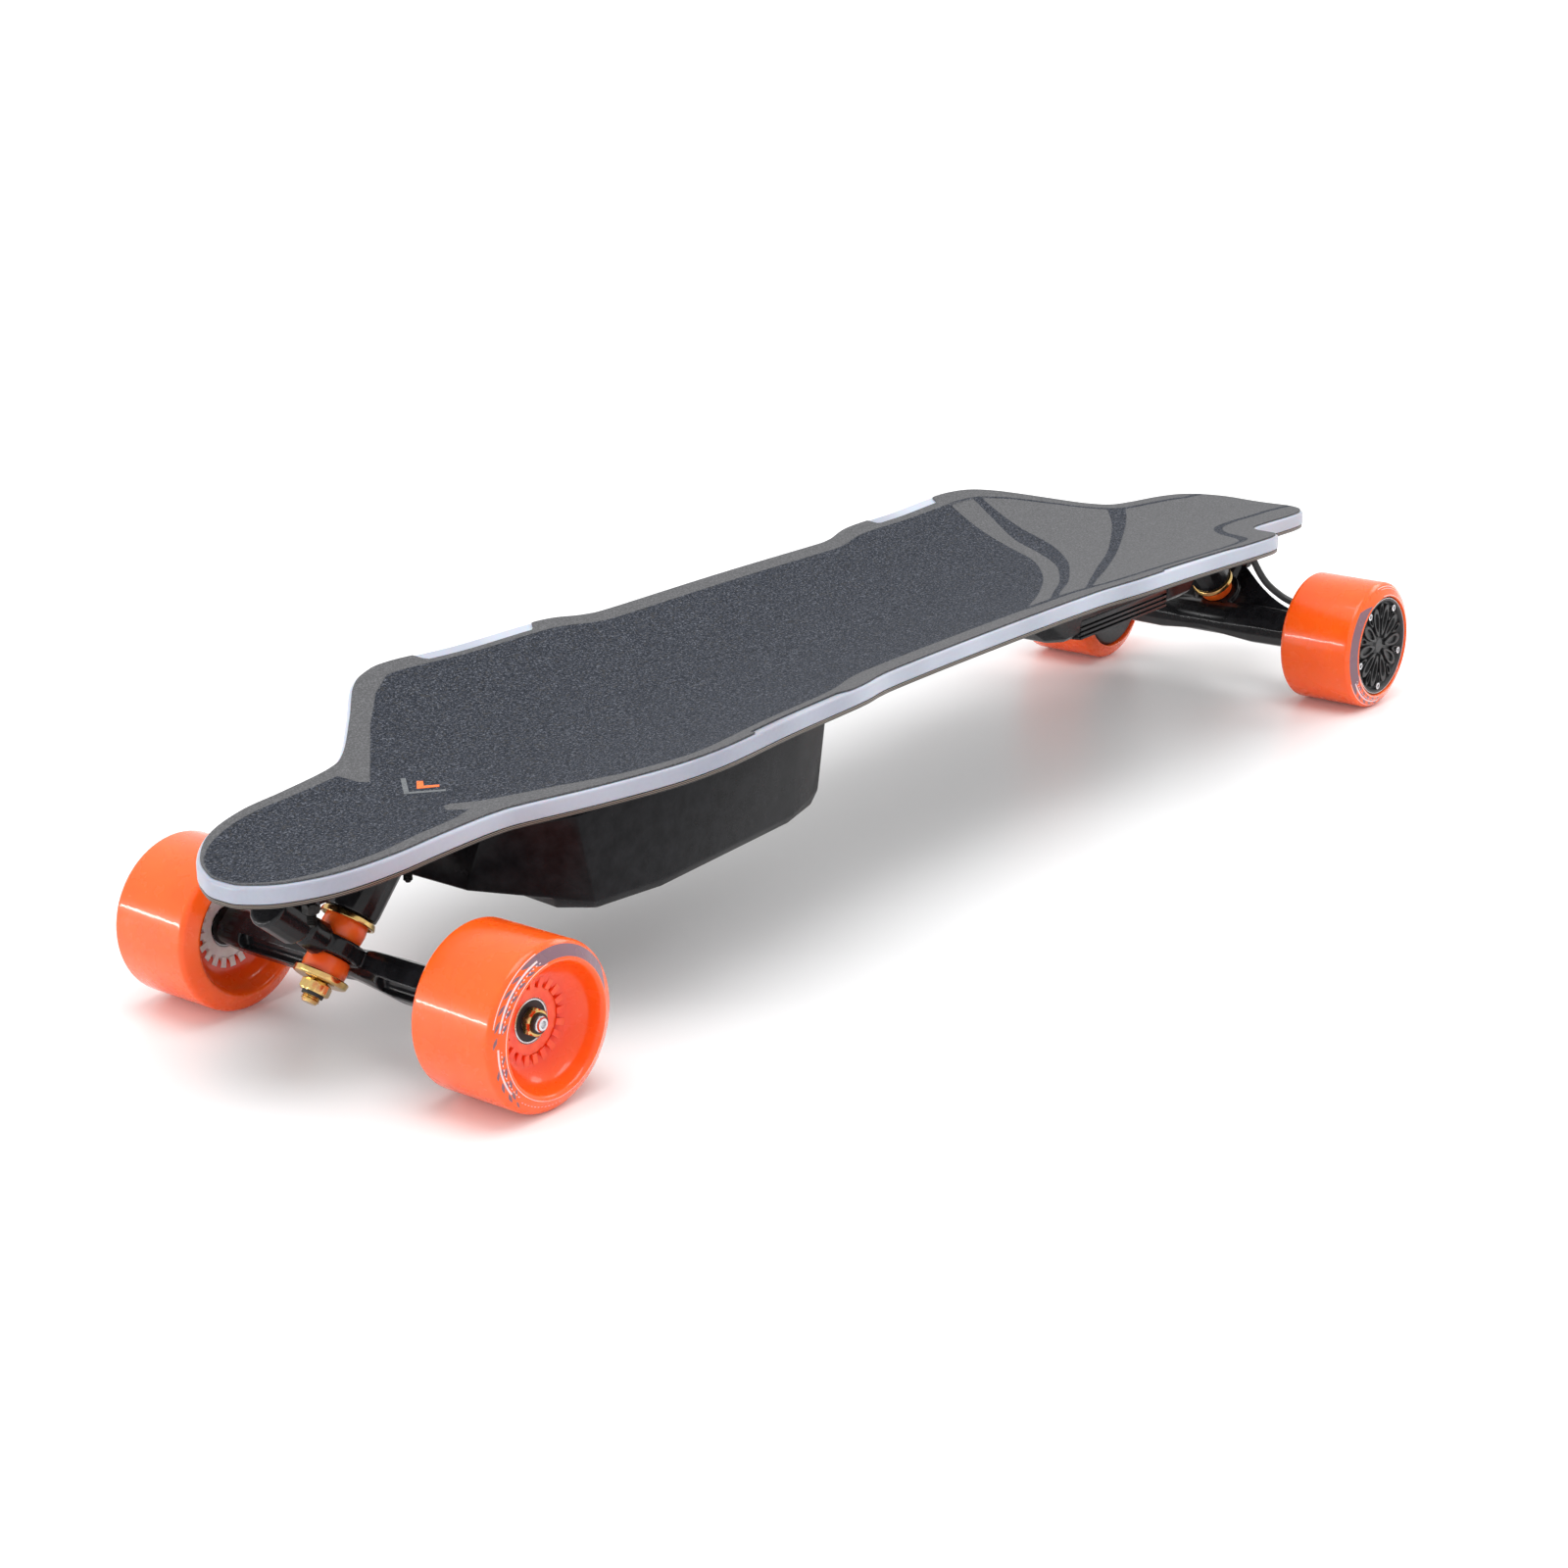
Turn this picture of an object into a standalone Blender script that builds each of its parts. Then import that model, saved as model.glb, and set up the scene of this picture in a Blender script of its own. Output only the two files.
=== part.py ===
"""Electric skateboard: a cambered, concave deck on two steering trucks, with a battery and a motor controller
slung underneath, free-rolling front wheels and hub motors in the rear wheels.

World frame: +X towards the nose, +Y to the left, +Z up, origin on the ground under the middle of the deck.
Each truck is modelled in its own frame: +X outward to the deck's end, origin on the ground under the axle.
"""

import math

import bmesh
import bpy
from mathutils import Vector

MM = 0.001
GAP = 0.3 * MM

# Layout
WHEEL_RADIUS = 42.5 * MM
WHEEL_SIDE = 105.2 * MM
FRONT_AXLE_X = 404 * MM
REAR_AXLE_X = -418 * MM

# Deck surface: a crown that falls away along the board and rises across it
DECK_CROWN = 127.1 * MM
CAMBER = 11.4 * MM
CAMBER_REACH = 411 * MM
CAMBER_CENTRE_X = -5 * MM
CONCAVE = 14 * MM
CONCAVE_REACH = 100 * MM

# Deck layers, measured down from the grip surface
DECK_THICKNESS = 12.5 * MM
GRIP_THICKNESS = 0.9 * MM
RAIL_TOP = GRIP_THICKNESS + GAP
CORE_TOP = RAIL_TOP + 0.4 * MM
PLY_THICKNESS = 2.2 * MM
RAIL_WIDTH = 9 * MM
RAIL_ROUND = 1.6 * MM
GRIP_EDGE = 2 * MM
GRIP_EDGE_AT_WINDOW = 8.4 * MM
WINDOW_CUT = 5 * MM
TIP_HALF = 5 * MM
WINDOWS = ((150 * MM, 234 * MM), (-248 * MM, -171 * MM))
DECK_COLUMNS = 4

# Deck outline: nose to tail, distance along the board and half width, in millimetres
OUTLINE = (
    (486, 0), (484, 13), (474, 30), (453, 46.5), (425, 54.5), (395, 56), (362, 59), (345, 66.5),
    (315, 92), (290, 114.5), (272, 122.6), (252, 124), (206, 118.5), (141, 115), (112, 107.8), (88, 105.6),
    (-5, 105), (-92, 104.5), (-117, 105.6), (-146, 112.3), (-200, 115.2), (-240, 119), (-266, 120.6),
    (-290, 118.5), (-309, 111.5), (-326, 100.5), (-343, 86), (-361, 68.5), (-376, 58.5), (-396, 55.3),
    (-432, 53), (-456, 48.5), (-473, 39), (-484, 24), (-486, 0),
)

# Truck geometry, in the truck frame
TRUCK_TILT = math.radians(40)
RING_CENTRE = Vector((13 * MM, 0, 56 * MM))
BOLT_SPACING = (64 * MM, 41.2 * MM)
BOLT_CENTRE_X = 13 * MM
PLATE_LENGTH = 86 * MM
PLATE_WIDTH = 56 * MM
PLATE_THICKNESS = 6.2 * MM
KINGPIN_RADIUS = 4.75 * MM
BUSHING_RADIUS = 11.5 * MM
RING_HALF = 4.5 * MM
SEAT_HEIGHT = 18.3 * MM
PIVOT_INNER = 30 * MM
PIVOT_OUTER = 54 * MM
PIVOT_PIN_RADIUS = 5.3 * MM
AXLE_RADIUS = 4 * MM
MOTOR_SHAFT_RADIUS = 5 * MM

# Wheels: half widths are measured from the wheel's middle
TREAD_HALF = 23.4 * MM
SHOULDER_HALF = 25.2 * MM
LIP_HALF = 29.3 * MM
LIP_RADIUS = 33.8 * MM
CORE_RADIUS = 17 * MM
CORE_HALF = 12.5 * MM
BEARING_RADIUS = 11 * MM
MOTOR_RADIUS = 33.2 * MM

# Enclosures
SHELL_WALL = 2.6 * MM
RIM_GAP = 0.6 * MM
BATTERY_FLOOR_Z = 61 * MM
BATTERY_REAR_X = 104 * MM
CONTROL_Z = 86 * MM
CONTROL_SIDE = 24 * MM
ESC_FLOOR_Z = 92 * MM
HEATSINK_X = (-262 * MM, -161 * MM)
HEATSINK_TOP_Z = 103.5 * MM

WHEEL_STEPS = 28
ROUND_STEPS = 22
SMALL_STEPS = 16
BOLT_STEPS = 8


# Scene helpers


def clear_scene():
    for obj in list(bpy.data.objects):
        bpy.data.objects.remove(obj, do_unlink=True)


def material(name, colour, roughness, metallic=0.0, transmission=0.0):
    mat = bpy.data.materials.new(name)
    mat.use_nodes = True
    shader = mat.node_tree.nodes["Principled BSDF"]
    shader.inputs["Base Color"].default_value = (*colour, 1.0)
    shader.inputs["Roughness"].default_value = roughness
    shader.inputs["Metallic"].default_value = metallic
    shader.inputs["Transmission Weight"].default_value = transmission
    mat.diffuse_color = (*colour, 1.0)
    return mat


def empty(name, location, rotation=(0, 0, 0)):
    obj = bpy.data.objects.new(name, None)
    bpy.context.scene.collection.objects.link(obj)
    obj.location = location
    obj.rotation_euler = rotation
    return obj


def solid(name, bm, mat=None, parent=None, location=(0, 0, 0), rotation=(0, 0, 0), smooth=True):
    """An object from a bmesh, with merged seams and faces out."""
    bmesh.ops.remove_doubles(bm, verts=bm.verts[:], dist=1e-6)
    bmesh.ops.recalc_face_normals(bm, faces=bm.faces[:])
    mesh = bpy.data.meshes.new(name)
    bm.to_mesh(mesh)
    bm.free()
    if mat:
        mesh.materials.append(mat)
    if smooth:
        mesh.shade_smooth()
        mesh.set_sharp_from_angle(angle=math.radians(35))
    obj = bpy.data.objects.new(name, mesh)
    bpy.context.scene.collection.objects.link(obj)
    obj.parent = parent
    obj.location = location
    obj.rotation_euler = rotation
    return obj


def combine(obj, other, operation):
    """Joins another solid to an object, or cuts it away, and hides it."""
    other.hide_render = True
    other.display_type = "WIRE"
    modifier = obj.modifiers.new(other.name, "BOOLEAN")
    modifier.object = other
    modifier.operation = operation
    modifier.solver = "EXACT"


def turned(profile, steps=ROUND_STEPS):
    """A profile of (radius, height) turned about Z, closed on itself where it stays off the axis."""
    bm = bmesh.new()
    verts = [bm.verts.new((radius, 0, height)) for radius, height in profile]
    pairs = list(zip(verts, verts[1:]))
    if profile[0][0] > 0 and profile[-1][0] > 0:
        pairs.append((verts[-1], verts[0]))
    edges = [bm.edges.new(pair) for pair in pairs]
    bmesh.ops.spin(
        bm, geom=verts + edges, axis=(0, 0, 1), cent=(0, 0, 0), steps=steps, angle=math.tau, use_merge=True
    )
    return bm


def rod(radius, low, high, chamfer=0.0):
    """The turned profile of a plain rod between two heights."""
    inner = radius - chamfer
    if chamfer:
        upper = [(0, high), (inner, high), (radius, high - chamfer)]
        return upper + [(radius, low + chamfer), (inner, low), (0, low)]
    return [(0, high), (radius, high), (radius, low), (0, low)]


def ring(inner, outer, low, high, chamfer=0.0):
    """The turned profile of a ring with chamfered outer edges."""
    if chamfer:
        return [
            (inner, high), (outer - chamfer, high), (outer, high - chamfer),
            (outer, low + chamfer), (outer - chamfer, low), (inner, low),
        ]
    return [(inner, high), (outer, high), (outer, low), (inner, low)]


def block(low, high):
    """A box between two corners."""
    bm = bmesh.new()
    bmesh.ops.create_cube(bm, size=1)
    middle = (Vector(low) + Vector(high)) / 2
    size = Vector(high) - Vector(low)
    for vert in bm.verts:
        vert.co = middle + Vector(vert.co) * size
    return bm


def round_edges(obj, width, segments=1):
    modifier = obj.modifiers.new("edges", "BEVEL")
    modifier.width = width
    modifier.segments = segments
    modifier.limit_method = "ANGLE"


def lofted(rings):
    """A skin through rings of equal point counts, capped at both ends."""
    bm = bmesh.new()
    loops = [[bm.verts.new(point) for point in points] for points in rings]
    count = len(loops[0])
    for below, above in zip(loops, loops[1:]):
        for i in range(count):
            j = (i + 1) % count
            bm.faces.new((below[i], below[j], above[j], above[i]))
    bm.faces.new(loops[0])
    bm.faces.new(loops[-1])
    return bm


# Deck


def deck_top(x, y):
    along = (x - CAMBER_CENTRE_X) / CAMBER_REACH
    across = y / CONCAVE_REACH
    return DECK_CROWN - CAMBER * along**2 + CONCAVE * across**2


def deck_bottom(x, y):
    return deck_top(x, y) - DECK_THICKNESS


def deck_slope(x):
    return -2 * CAMBER * (x - CAMBER_CENTRE_X) / CAMBER_REACH**2


def half_outline():
    """Points along the deck's left edge from nose to tail, with extra ones at the window cuts."""
    points = [Vector(point) * MM for point in OUTLINE]
    points[0] = Vector((points[0].x, TIP_HALF))
    points[-1] = Vector((points[-1].x, TIP_HALF))
    return with_window_points(points)


def with_window_points(points):
    cuts = [edge + side * WINDOW_CUT / 2 for window in WINDOWS for edge in window for side in (-1, 1)]
    for x in cuts:
        for i in range(len(points) - 1):
            near, far = points[i], points[i + 1]
            if near.x > x + MM and far.x < x - MM:
                points.insert(i + 1, near.lerp(far, (near.x - x) / (near.x - far.x)))
                break
    return points


def inset_outline(points, inset):
    """The left edge moved inward, by a distance or by a function of x."""
    moved = []
    for i, point in enumerate(points):
        before = points[i - 1] if i else Vector((point.x, -point.y))
        after = points[i + 1] if i + 1 < len(points) else Vector((point.x, -point.y))
        tangent = (after - before).normalized()
        amount = inset(point.x) if callable(inset) else inset
        shifted = point + Vector((-tangent.y, tangent.x)) * amount
        shifted.y = max(shifted.y, MM)
        moved.append(shifted)
    return moved


def surface_point(x, y, depth):
    return Vector((x, y, deck_top(x, y) - depth))


def layered_plate(layers):
    """A closed plate over the deck's outline from layers of (inset, depth), bottom to top."""
    bm = bmesh.new()
    outline = half_outline()
    grids = []
    for inset, depth in layers:
        rows = []
        for edge in inset_outline(outline, inset):
            sides = [1 - 2 * k / DECK_COLUMNS for k in range(DECK_COLUMNS + 1)]
            rows.append([surface_point(edge.x, edge.y * side, depth) for side in sides])
        grids.append(rows)
    loops = []
    caps = []
    last = len(grids) - 1
    for index, rows in enumerate(grids):
        if index in (0, last):
            verts = [[bm.verts.new(point) for point in row] for row in rows]
            caps.append(verts)
        else:
            verts = [[bm.verts.new(p) if on_edge(i, j, rows) else None for j, p in enumerate(row)]
                     for i, row in enumerate(rows)]
        loops.append(border(verts))
    for rows in caps:
        for near, far in zip(rows, rows[1:]):
            for j in range(DECK_COLUMNS):
                bm.faces.new((near[j], near[j + 1], far[j + 1], far[j]))
    for below, above in zip(loops, loops[1:]):
        for i in range(len(below)):
            j = (i + 1) % len(below)
            bm.faces.new((below[i], below[j], above[j], above[i]))
    return bm


def on_edge(i, j, rows):
    return i in (0, len(rows) - 1) or j in (0, DECK_COLUMNS)


def border(rows):
    """The grid's outer loop: left side, tail end, right side, nose end."""
    left = [row[0] for row in rows]
    right = [row[-1] for row in reversed(rows)]
    return left + rows[-1][1:-1] + right + rows[0][-2:0:-1]


def grip_edge(x):
    """How far the grip tape stops short of the deck's edge: further in where the rail shows."""
    blend = 0.0
    for low, high in WINDOWS:
        rise = (x - low + WINDOW_CUT / 2) / WINDOW_CUT
        fall = (high + WINDOW_CUT / 2 - x) / WINDOW_CUT
        blend = max(blend, min(1.0, max(0.0, min(rise, fall))))
    return GRIP_EDGE + (GRIP_EDGE_AT_WINDOW - GRIP_EDGE) * blend


def deck_core(mat):
    ply_top = DECK_THICKNESS - PLY_THICKNESS
    layers = (
        (0.8 * MM, DECK_THICKNESS),
        (0.3 * MM, ply_top),
        (RAIL_WIDTH, ply_top),
        (RAIL_WIDTH, CORE_TOP),
    )
    core = solid("deck_core", layered_plate(layers), mat)
    for axle_x, outward in ((FRONT_AXLE_X, 1), (REAR_AXLE_X, -1)):
        for index, (x, y) in enumerate(bolt_places()):
            place = (axle_x + outward * x, y, 0)
            hole = solid(f"deck_hole_{outward}_{index}", turned(deck_hole_profile(place[0]), BOLT_STEPS))
            hole.location = place
            combine(core, hole, "DIFFERENCE")
    return core


def deck_hole_profile(x):
    """A bolt hole with a recess for the head, cut from above the core to below it."""
    top = deck_top(x, BOLT_SPACING[1] / 2) - CORE_TOP
    shank = 2.8 * MM
    head = 5.2 * MM
    recess = top - 3.6 * MM
    above = top + 3 * MM
    below = top - 16 * MM
    return [(0, above), (head, above), (head, recess), (shank, recess), (shank, below), (0, below)]


def deck_rail(mat):
    low = DECK_THICKNESS - PLY_THICKNESS - GAP
    section = (
        (RAIL_WIDTH - GAP, low),
        (0, low),
        (0, RAIL_TOP + RAIL_ROUND),
        (RAIL_ROUND, RAIL_TOP),
        (RAIL_WIDTH - GAP, RAIL_TOP),
    )
    bm = bmesh.new()
    outline = half_outline()
    loops = []
    for inset, depth in section:
        left = inset_outline(outline, inset)
        loop = [surface_point(p.x, p.y, depth) for p in left]
        loop += [surface_point(p.x, -p.y, depth) for p in reversed(left)]
        loops.append([bm.verts.new(point) for point in loop])
    for here, there in zip(loops, loops[1:] + loops[:1]):
        for i in range(len(here)):
            j = (i + 1) % len(here)
            bm.faces.new((here[i], here[j], there[j], there[i]))
    return solid("deck_rail", bm, mat)


def grip_tape(mat):
    layers = ((grip_edge, GRIP_THICKNESS), (grip_edge, 0.0))
    return solid("grip_tape", layered_plate(layers), mat)


# Enclosures under the deck


def full_ring(half, height):
    """A closed ring from its left half, at the height given by a function of x and y."""
    left = [Vector((x * MM, y * MM, 0)) for x, y in half]
    right = [Vector((p.x, -p.y, 0)) for p in reversed(left) if p.y > 0]
    points = left + right
    for point in points:
        point.z = height(point.x, point.y)
    return points


def shrunk(points, middle_x, wall, lift):
    """A ring drawn in by the wall and raised."""
    reach_x = max(abs(p.x - middle_x) for p in points)
    reach_y = max(abs(p.y) for p in points)
    moved = []
    for p in points:
        x = middle_x + (p.x - middle_x) * (1 - wall / reach_x)
        y = p.y * (1 - wall / reach_y)
        moved.append(Vector((x, y, p.z + lift)))
    return moved


def open_shell(rings, middle_x, crease=None):
    """A tray whose outer rings run from the floor up, with an inner skin one wall inside, open at the top."""
    bm = bmesh.new()
    outer = [[bm.verts.new(p) for p in points] for points in rings]
    inner_points = [shrunk(points, middle_x, SHELL_WALL, SHELL_WALL) for points in rings[:-1]]
    inner_points.append(shrunk(rings[-1], middle_x, SHELL_WALL, 0.0))
    inner = [[bm.verts.new(p) for p in points] for points in inner_points]
    skin(bm, outer, crease)
    skin(bm, inner, crease)
    skin(bm, [outer[-1], inner[-1]], None)
    bm.faces.new(outer[0])
    bm.faces.new(inner[0])
    return bm


def skin(bm, loops, crease):
    """Triangles between loops; the crease names one side whose diagonal runs forward and up."""
    for level, (below, above) in enumerate(zip(loops, loops[1:])):
        count = len(below)
        for i in range(count):
            j = (i + 1) % count
            flipped = crease is not None and (level, i) == crease
            mirrored = crease is not None and (level, count - i) == crease
            if flipped or (i * 2 > count and not mirrored):
                bm.faces.new((below[i], below[j], above[i]))
                bm.faces.new((below[j], above[j], above[i]))
            else:
                bm.faces.new((below[i], below[j], above[j]))
                bm.faces.new((below[i], above[j], above[i]))


def battery_rings():
    floor = (
        (318, 0), (318, 15), (318, 30), (321, 59), (309, 75), (266, 81),
        (150, 72), (118, 63), (112, 49), (112, 25), (112, 0),
    )
    skirt = (
        (355, 0), (355, 15), (355, 30), (328, 64), (314, 79), (268, 84),
        (150, 75), (114, 65), (104, 50), (104, 25), (104, 0),
    )
    rim = (
        (353, 0), (353, 21), (353, 42), (340, 61), (326, 80), (266, 88),
        (149, 79), (110, 69), (104, 52), (104, 26), (104, 0),
    )

    def skirt_height(x, y):
        bow = max(0.0, (x - 310 * MM) / (45 * MM))
        stern = max(0.0, (150 * MM - x) / (46 * MM))
        return BATTERY_FLOOR_Z + (5 + 8 * bow + 4 * stern) * MM

    return [
        full_ring(floor, lambda x, y: BATTERY_FLOOR_Z),
        full_ring(skirt, skirt_height),
        full_ring(rim, lambda x, y: deck_bottom(x, y) - RIM_GAP),
    ]


def battery_enclosure(mat):
    box = open_shell(battery_rings(), 225 * MM, crease=(1, 4))
    shell = solid("battery_enclosure", box, mat, smooth=False)
    for name, side, radius in (("button_hole", 1, 8.3), ("port_hole", -1, 7.3)):
        cutter = solid(name, turned(rod(radius * MM, -12 * MM, 12 * MM), SMALL_STEPS))
        cutter.location = (BATTERY_REAR_X, side * CONTROL_SIDE, CONTROL_Z)
        cutter.rotation_euler = (0, math.radians(90), 0)
        combine(shell, cutter, "DIFFERENCE")
    return shell


def battery_pack(mat):
    low = (142 * MM, -58 * MM, BATTERY_FLOOR_Z + SHELL_WALL + 2 * MM)
    high = (298 * MM, 58 * MM, 106 * MM)
    pack = solid("battery_pack", block(low, high), mat)
    round_edges(pack, 3 * MM)
    return pack


def esc_rings():
    floor = ((-142, 0), (-142, 23), (-142, 46), (-150, 53), (-288, 53), (-298, 45), (-298, 22), (-298, 0))
    skirt = ((-133, 0), (-133, 25), (-133, 50), (-144, 58), (-292, 58), (-303, 49), (-303, 24), (-303, 0))
    rim = ((-98, 0), (-98, 26), (-98, 52), (-108, 61), (-300, 61), (-311, 52), (-311, 26), (-311, 0))
    return [
        full_ring(floor, lambda x, y: ESC_FLOOR_Z),
        full_ring(skirt, lambda x, y: ESC_FLOOR_Z + 4 * MM),
        full_ring(rim, lambda x, y: deck_bottom(x, y) - RIM_GAP),
    ]


def esc_enclosure(mat):
    shell = solid("esc_enclosure", open_shell(esc_rings(), -205 * MM), mat, smooth=False)
    low = (HEATSINK_X[0] - GAP, -80 * MM, ESC_FLOOR_Z - 10 * MM)
    high = (HEATSINK_X[1] + GAP, 80 * MM, HEATSINK_TOP_Z + GAP)
    combine(shell, solid("heatsink_bay", block(low, high)), "DIFFERENCE")
    return shell


def esc_heatsink(mat):
    """An extruded block with three grooves along each side and channels underneath."""
    fin = 1.5 * MM
    depth = 2.2 * MM
    half = 58.5 * MM
    low = ESC_FLOOR_Z - 1.5 * MM
    left = [(-46 * MM, low), (46 * MM, low)]
    edge = low + 1.2 * MM
    for groove in range(4):
        base = edge + groove * 2 * fin
        left += [(half, base), (half, base + fin)]
        if groove < 3:
            left += [(half - depth, base + fin), (half - depth, base + 2 * fin)]
    left.append((half, HEATSINK_TOP_Z))
    right = [(-y, z) for y, z in reversed(left[2:])]
    profile = left + right
    rings = [[Vector((x, y, z)) for y, z in profile] for x in HEATSINK_X]
    return solid("esc_heatsink", lofted(rings), mat, smooth=False)


def esc_board(mat):
    low = (-258 * MM, -46 * MM, HEATSINK_TOP_Z + 1.5 * MM)
    high = (-166 * MM, 46 * MM, HEATSINK_TOP_Z + 4.5 * MM)
    return solid("esc_board", block(low, high), mat, smooth=False)


def power_button(mat):
    """A round push button through the battery box's rear wall, with a flange that stops it falling out."""
    face = 1.6 * MM
    wall = SHELL_WALL + GAP
    profile = [
        (0, face), (7.2 * MM, face), (8 * MM, face - 0.8 * MM), (8 * MM, -wall - 0.4 * MM),
        (9.6 * MM, -wall - 0.4 * MM), (9.6 * MM, -wall - 2 * MM), (0, -wall - 2 * MM),
    ]
    button = solid("power_button", turned(profile, SMALL_STEPS), mat)
    button.location = (BATTERY_REAR_X, CONTROL_SIDE, CONTROL_Z)
    button.rotation_euler = (0, math.radians(-90), 0)
    return button


def charge_port(mat):
    profile = [
        (3.4 * MM, 1.2 * MM), (9 * MM, 1.2 * MM), (9 * MM, GAP), (7 * MM, GAP), (7 * MM, -14 * MM),
        (0, -14 * MM), (0, -11 * MM), (3.4 * MM, -11 * MM),
    ]
    bm = bmesh.new()
    verts = [bm.verts.new((radius, 0, height)) for radius, height in profile]
    on_axis = {verts[5], verts[6]}
    loop = [bm.edges.new(pair) for pair in zip(verts, verts[1:] + verts[:1]) if set(pair) != on_axis]
    bmesh.ops.spin(
        bm,
        geom=verts + loop,
        axis=(0, 0, 1),
        cent=(0, 0, 0),
        steps=SMALL_STEPS,
        angle=math.tau,
        use_merge=True,
    )
    port = solid("charge_port", bm, mat)
    port.location = (BATTERY_REAR_X, -CONTROL_SIDE, CONTROL_Z)
    port.rotation_euler = (0, math.radians(-90), 0)
    return port


def charge_port_cap(mat):
    """A flap hung from a hinge above the port; its origin is on the hinge line."""
    hinge = empty("cap_hinge", (BATTERY_REAR_X - 2.9 * MM, -CONTROL_SIDE, CONTROL_Z + 11 * MM))
    drop = -11 * MM
    low = (-1.2 * MM, -7 * MM, drop)
    high = (1.2 * MM, 7 * MM, 1.2 * MM)
    cap = solid("charge_port_cap", block(low, high), mat, parent=hinge)
    disc = solid("cap_disc", turned(rod(9 * MM, -1.2 * MM, 1.2 * MM, 0.5 * MM), SMALL_STEPS), parent=hinge)
    disc.location = (0, 0, drop)
    disc.rotation_euler = (0, math.radians(90), 0)
    combine(cap, disc, "UNION")
    return cap


# Trucks


def tilted(along, up):
    """A truck point from its distances along the steering axis and up the kingpin, from the ring's centre."""
    outward = Vector((math.cos(TRUCK_TILT), 0, math.sin(TRUCK_TILT)))
    upward = Vector((-math.sin(TRUCK_TILT), 0, math.cos(TRUCK_TILT)))
    return RING_CENTRE + outward * along + upward * up


def bolt_places():
    half_length = BOLT_SPACING[0] / 2
    half_width = BOLT_SPACING[1] / 2
    return [(BOLT_CENTRE_X + i * half_length, j * half_width) for i in (1, -1) for j in (1, -1)]


def on_kingpin(name, profile, mat, truck, steps=ROUND_STEPS):
    part = solid(name, turned(profile, steps), mat, parent=truck)
    part.location = RING_CENTRE
    part.rotation_euler = (0, -TRUCK_TILT, 0)
    return part


def on_pivot(name, profile, mat, truck, steps=SMALL_STEPS):
    part = solid(name, turned(profile, steps), mat, parent=truck)
    part.location = RING_CENTRE
    part.rotation_euler = (0, math.radians(90) - TRUCK_TILT, 0)
    return part


def along_axle(name, profile, mat, truck, steps=SMALL_STEPS):
    part = solid(name, turned(profile, steps), mat, parent=truck)
    part.location = (0, 0, WHEEL_RADIUS)
    part.rotation_euler = (math.radians(-90), 0, 0)
    return part


def truck_baseplate(prefix, truck, axle_x, outward, mat):
    """A bolt-on plate with the kingpin's tower at its inner end and the pivot housing at its outer end."""
    middle = axle_x + outward * BOLT_CENTRE_X
    slope = outward * deck_slope(middle)
    lean = -math.atan(slope)
    top = deck_bottom(middle, 0) - GAP
    corner = (PLATE_LENGTH / 2, PLATE_WIDTH / 2)
    bm = block((-corner[0], -corner[1], -PLATE_THICKNESS), (corner[0], corner[1], 0))
    uprights = [e for e in bm.edges if abs(e.verts[0].co.z - e.verts[1].co.z) > MM]
    bmesh.ops.bevel(bm, geom=uprights, offset=9 * MM, segments=2, affect="EDGES")
    plate = solid(f"{prefix}_baseplate", bm, mat, parent=truck)
    plate.location = (BOLT_CENTRE_X, 0, top)
    plate.rotation_euler = (0, lean, 0)
    for index, (x, y) in enumerate(bolt_places()):
        bore = turned(rod(2.8 * MM, -0.02, 0.02), BOLT_STEPS)
        hole = solid(f"{prefix}_bolt_bore_{index}", bore, parent=truck)
        hole.location = (x, y, top)
        combine(plate, hole, "DIFFERENCE")
    tower = [(0, 76 * MM), (15.5 * MM, 76 * MM), (14 * MM, SEAT_HEIGHT + 4 * MM), (13.5 * MM, SEAT_HEIGHT),
             (0, SEAT_HEIGHT)]
    combine(plate, on_kingpin(f"{prefix}_tower", tower, None, truck, SMALL_STEPS), "UNION")
    housing = rod(11 * MM, PIVOT_INNER, PIVOT_OUTER, 1.2 * MM)
    combine(plate, on_pivot(f"{prefix}_housing", housing, None, truck), "UNION")
    web = block((30 * MM, -8 * MM, 80 * MM), (54 * MM, 8 * MM, 98 * MM))
    combine(plate, solid(f"{prefix}_web", web, parent=truck), "UNION")
    above = solid(f"{prefix}_above", block((-0.1, -0.1, -0.05 * MM), (0.1, 0.1, 0.06)), parent=truck)
    above.location = plate.location
    above.rotation_euler = plate.rotation_euler
    combine(plate, above, "DIFFERENCE")
    narrow = KINGPIN_RADIUS + GAP
    seat = [
        (0, 85 * MM), (9.2 * MM, 85 * MM), (9.2 * MM, 44.5 * MM),
        (narrow, 44.5 * MM), (narrow, 10 * MM), (0, 10 * MM),
    ]
    combine(plate, on_kingpin(f"{prefix}_kingpin_seat", seat, None, truck, SMALL_STEPS), "DIFFERENCE")
    socket = rod(8 * MM, 20 * MM, PIVOT_OUTER - 3.5 * MM)
    combine(plate, on_pivot(f"{prefix}_socket", socket, None, truck), "DIFFERENCE")
    return plate


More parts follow.
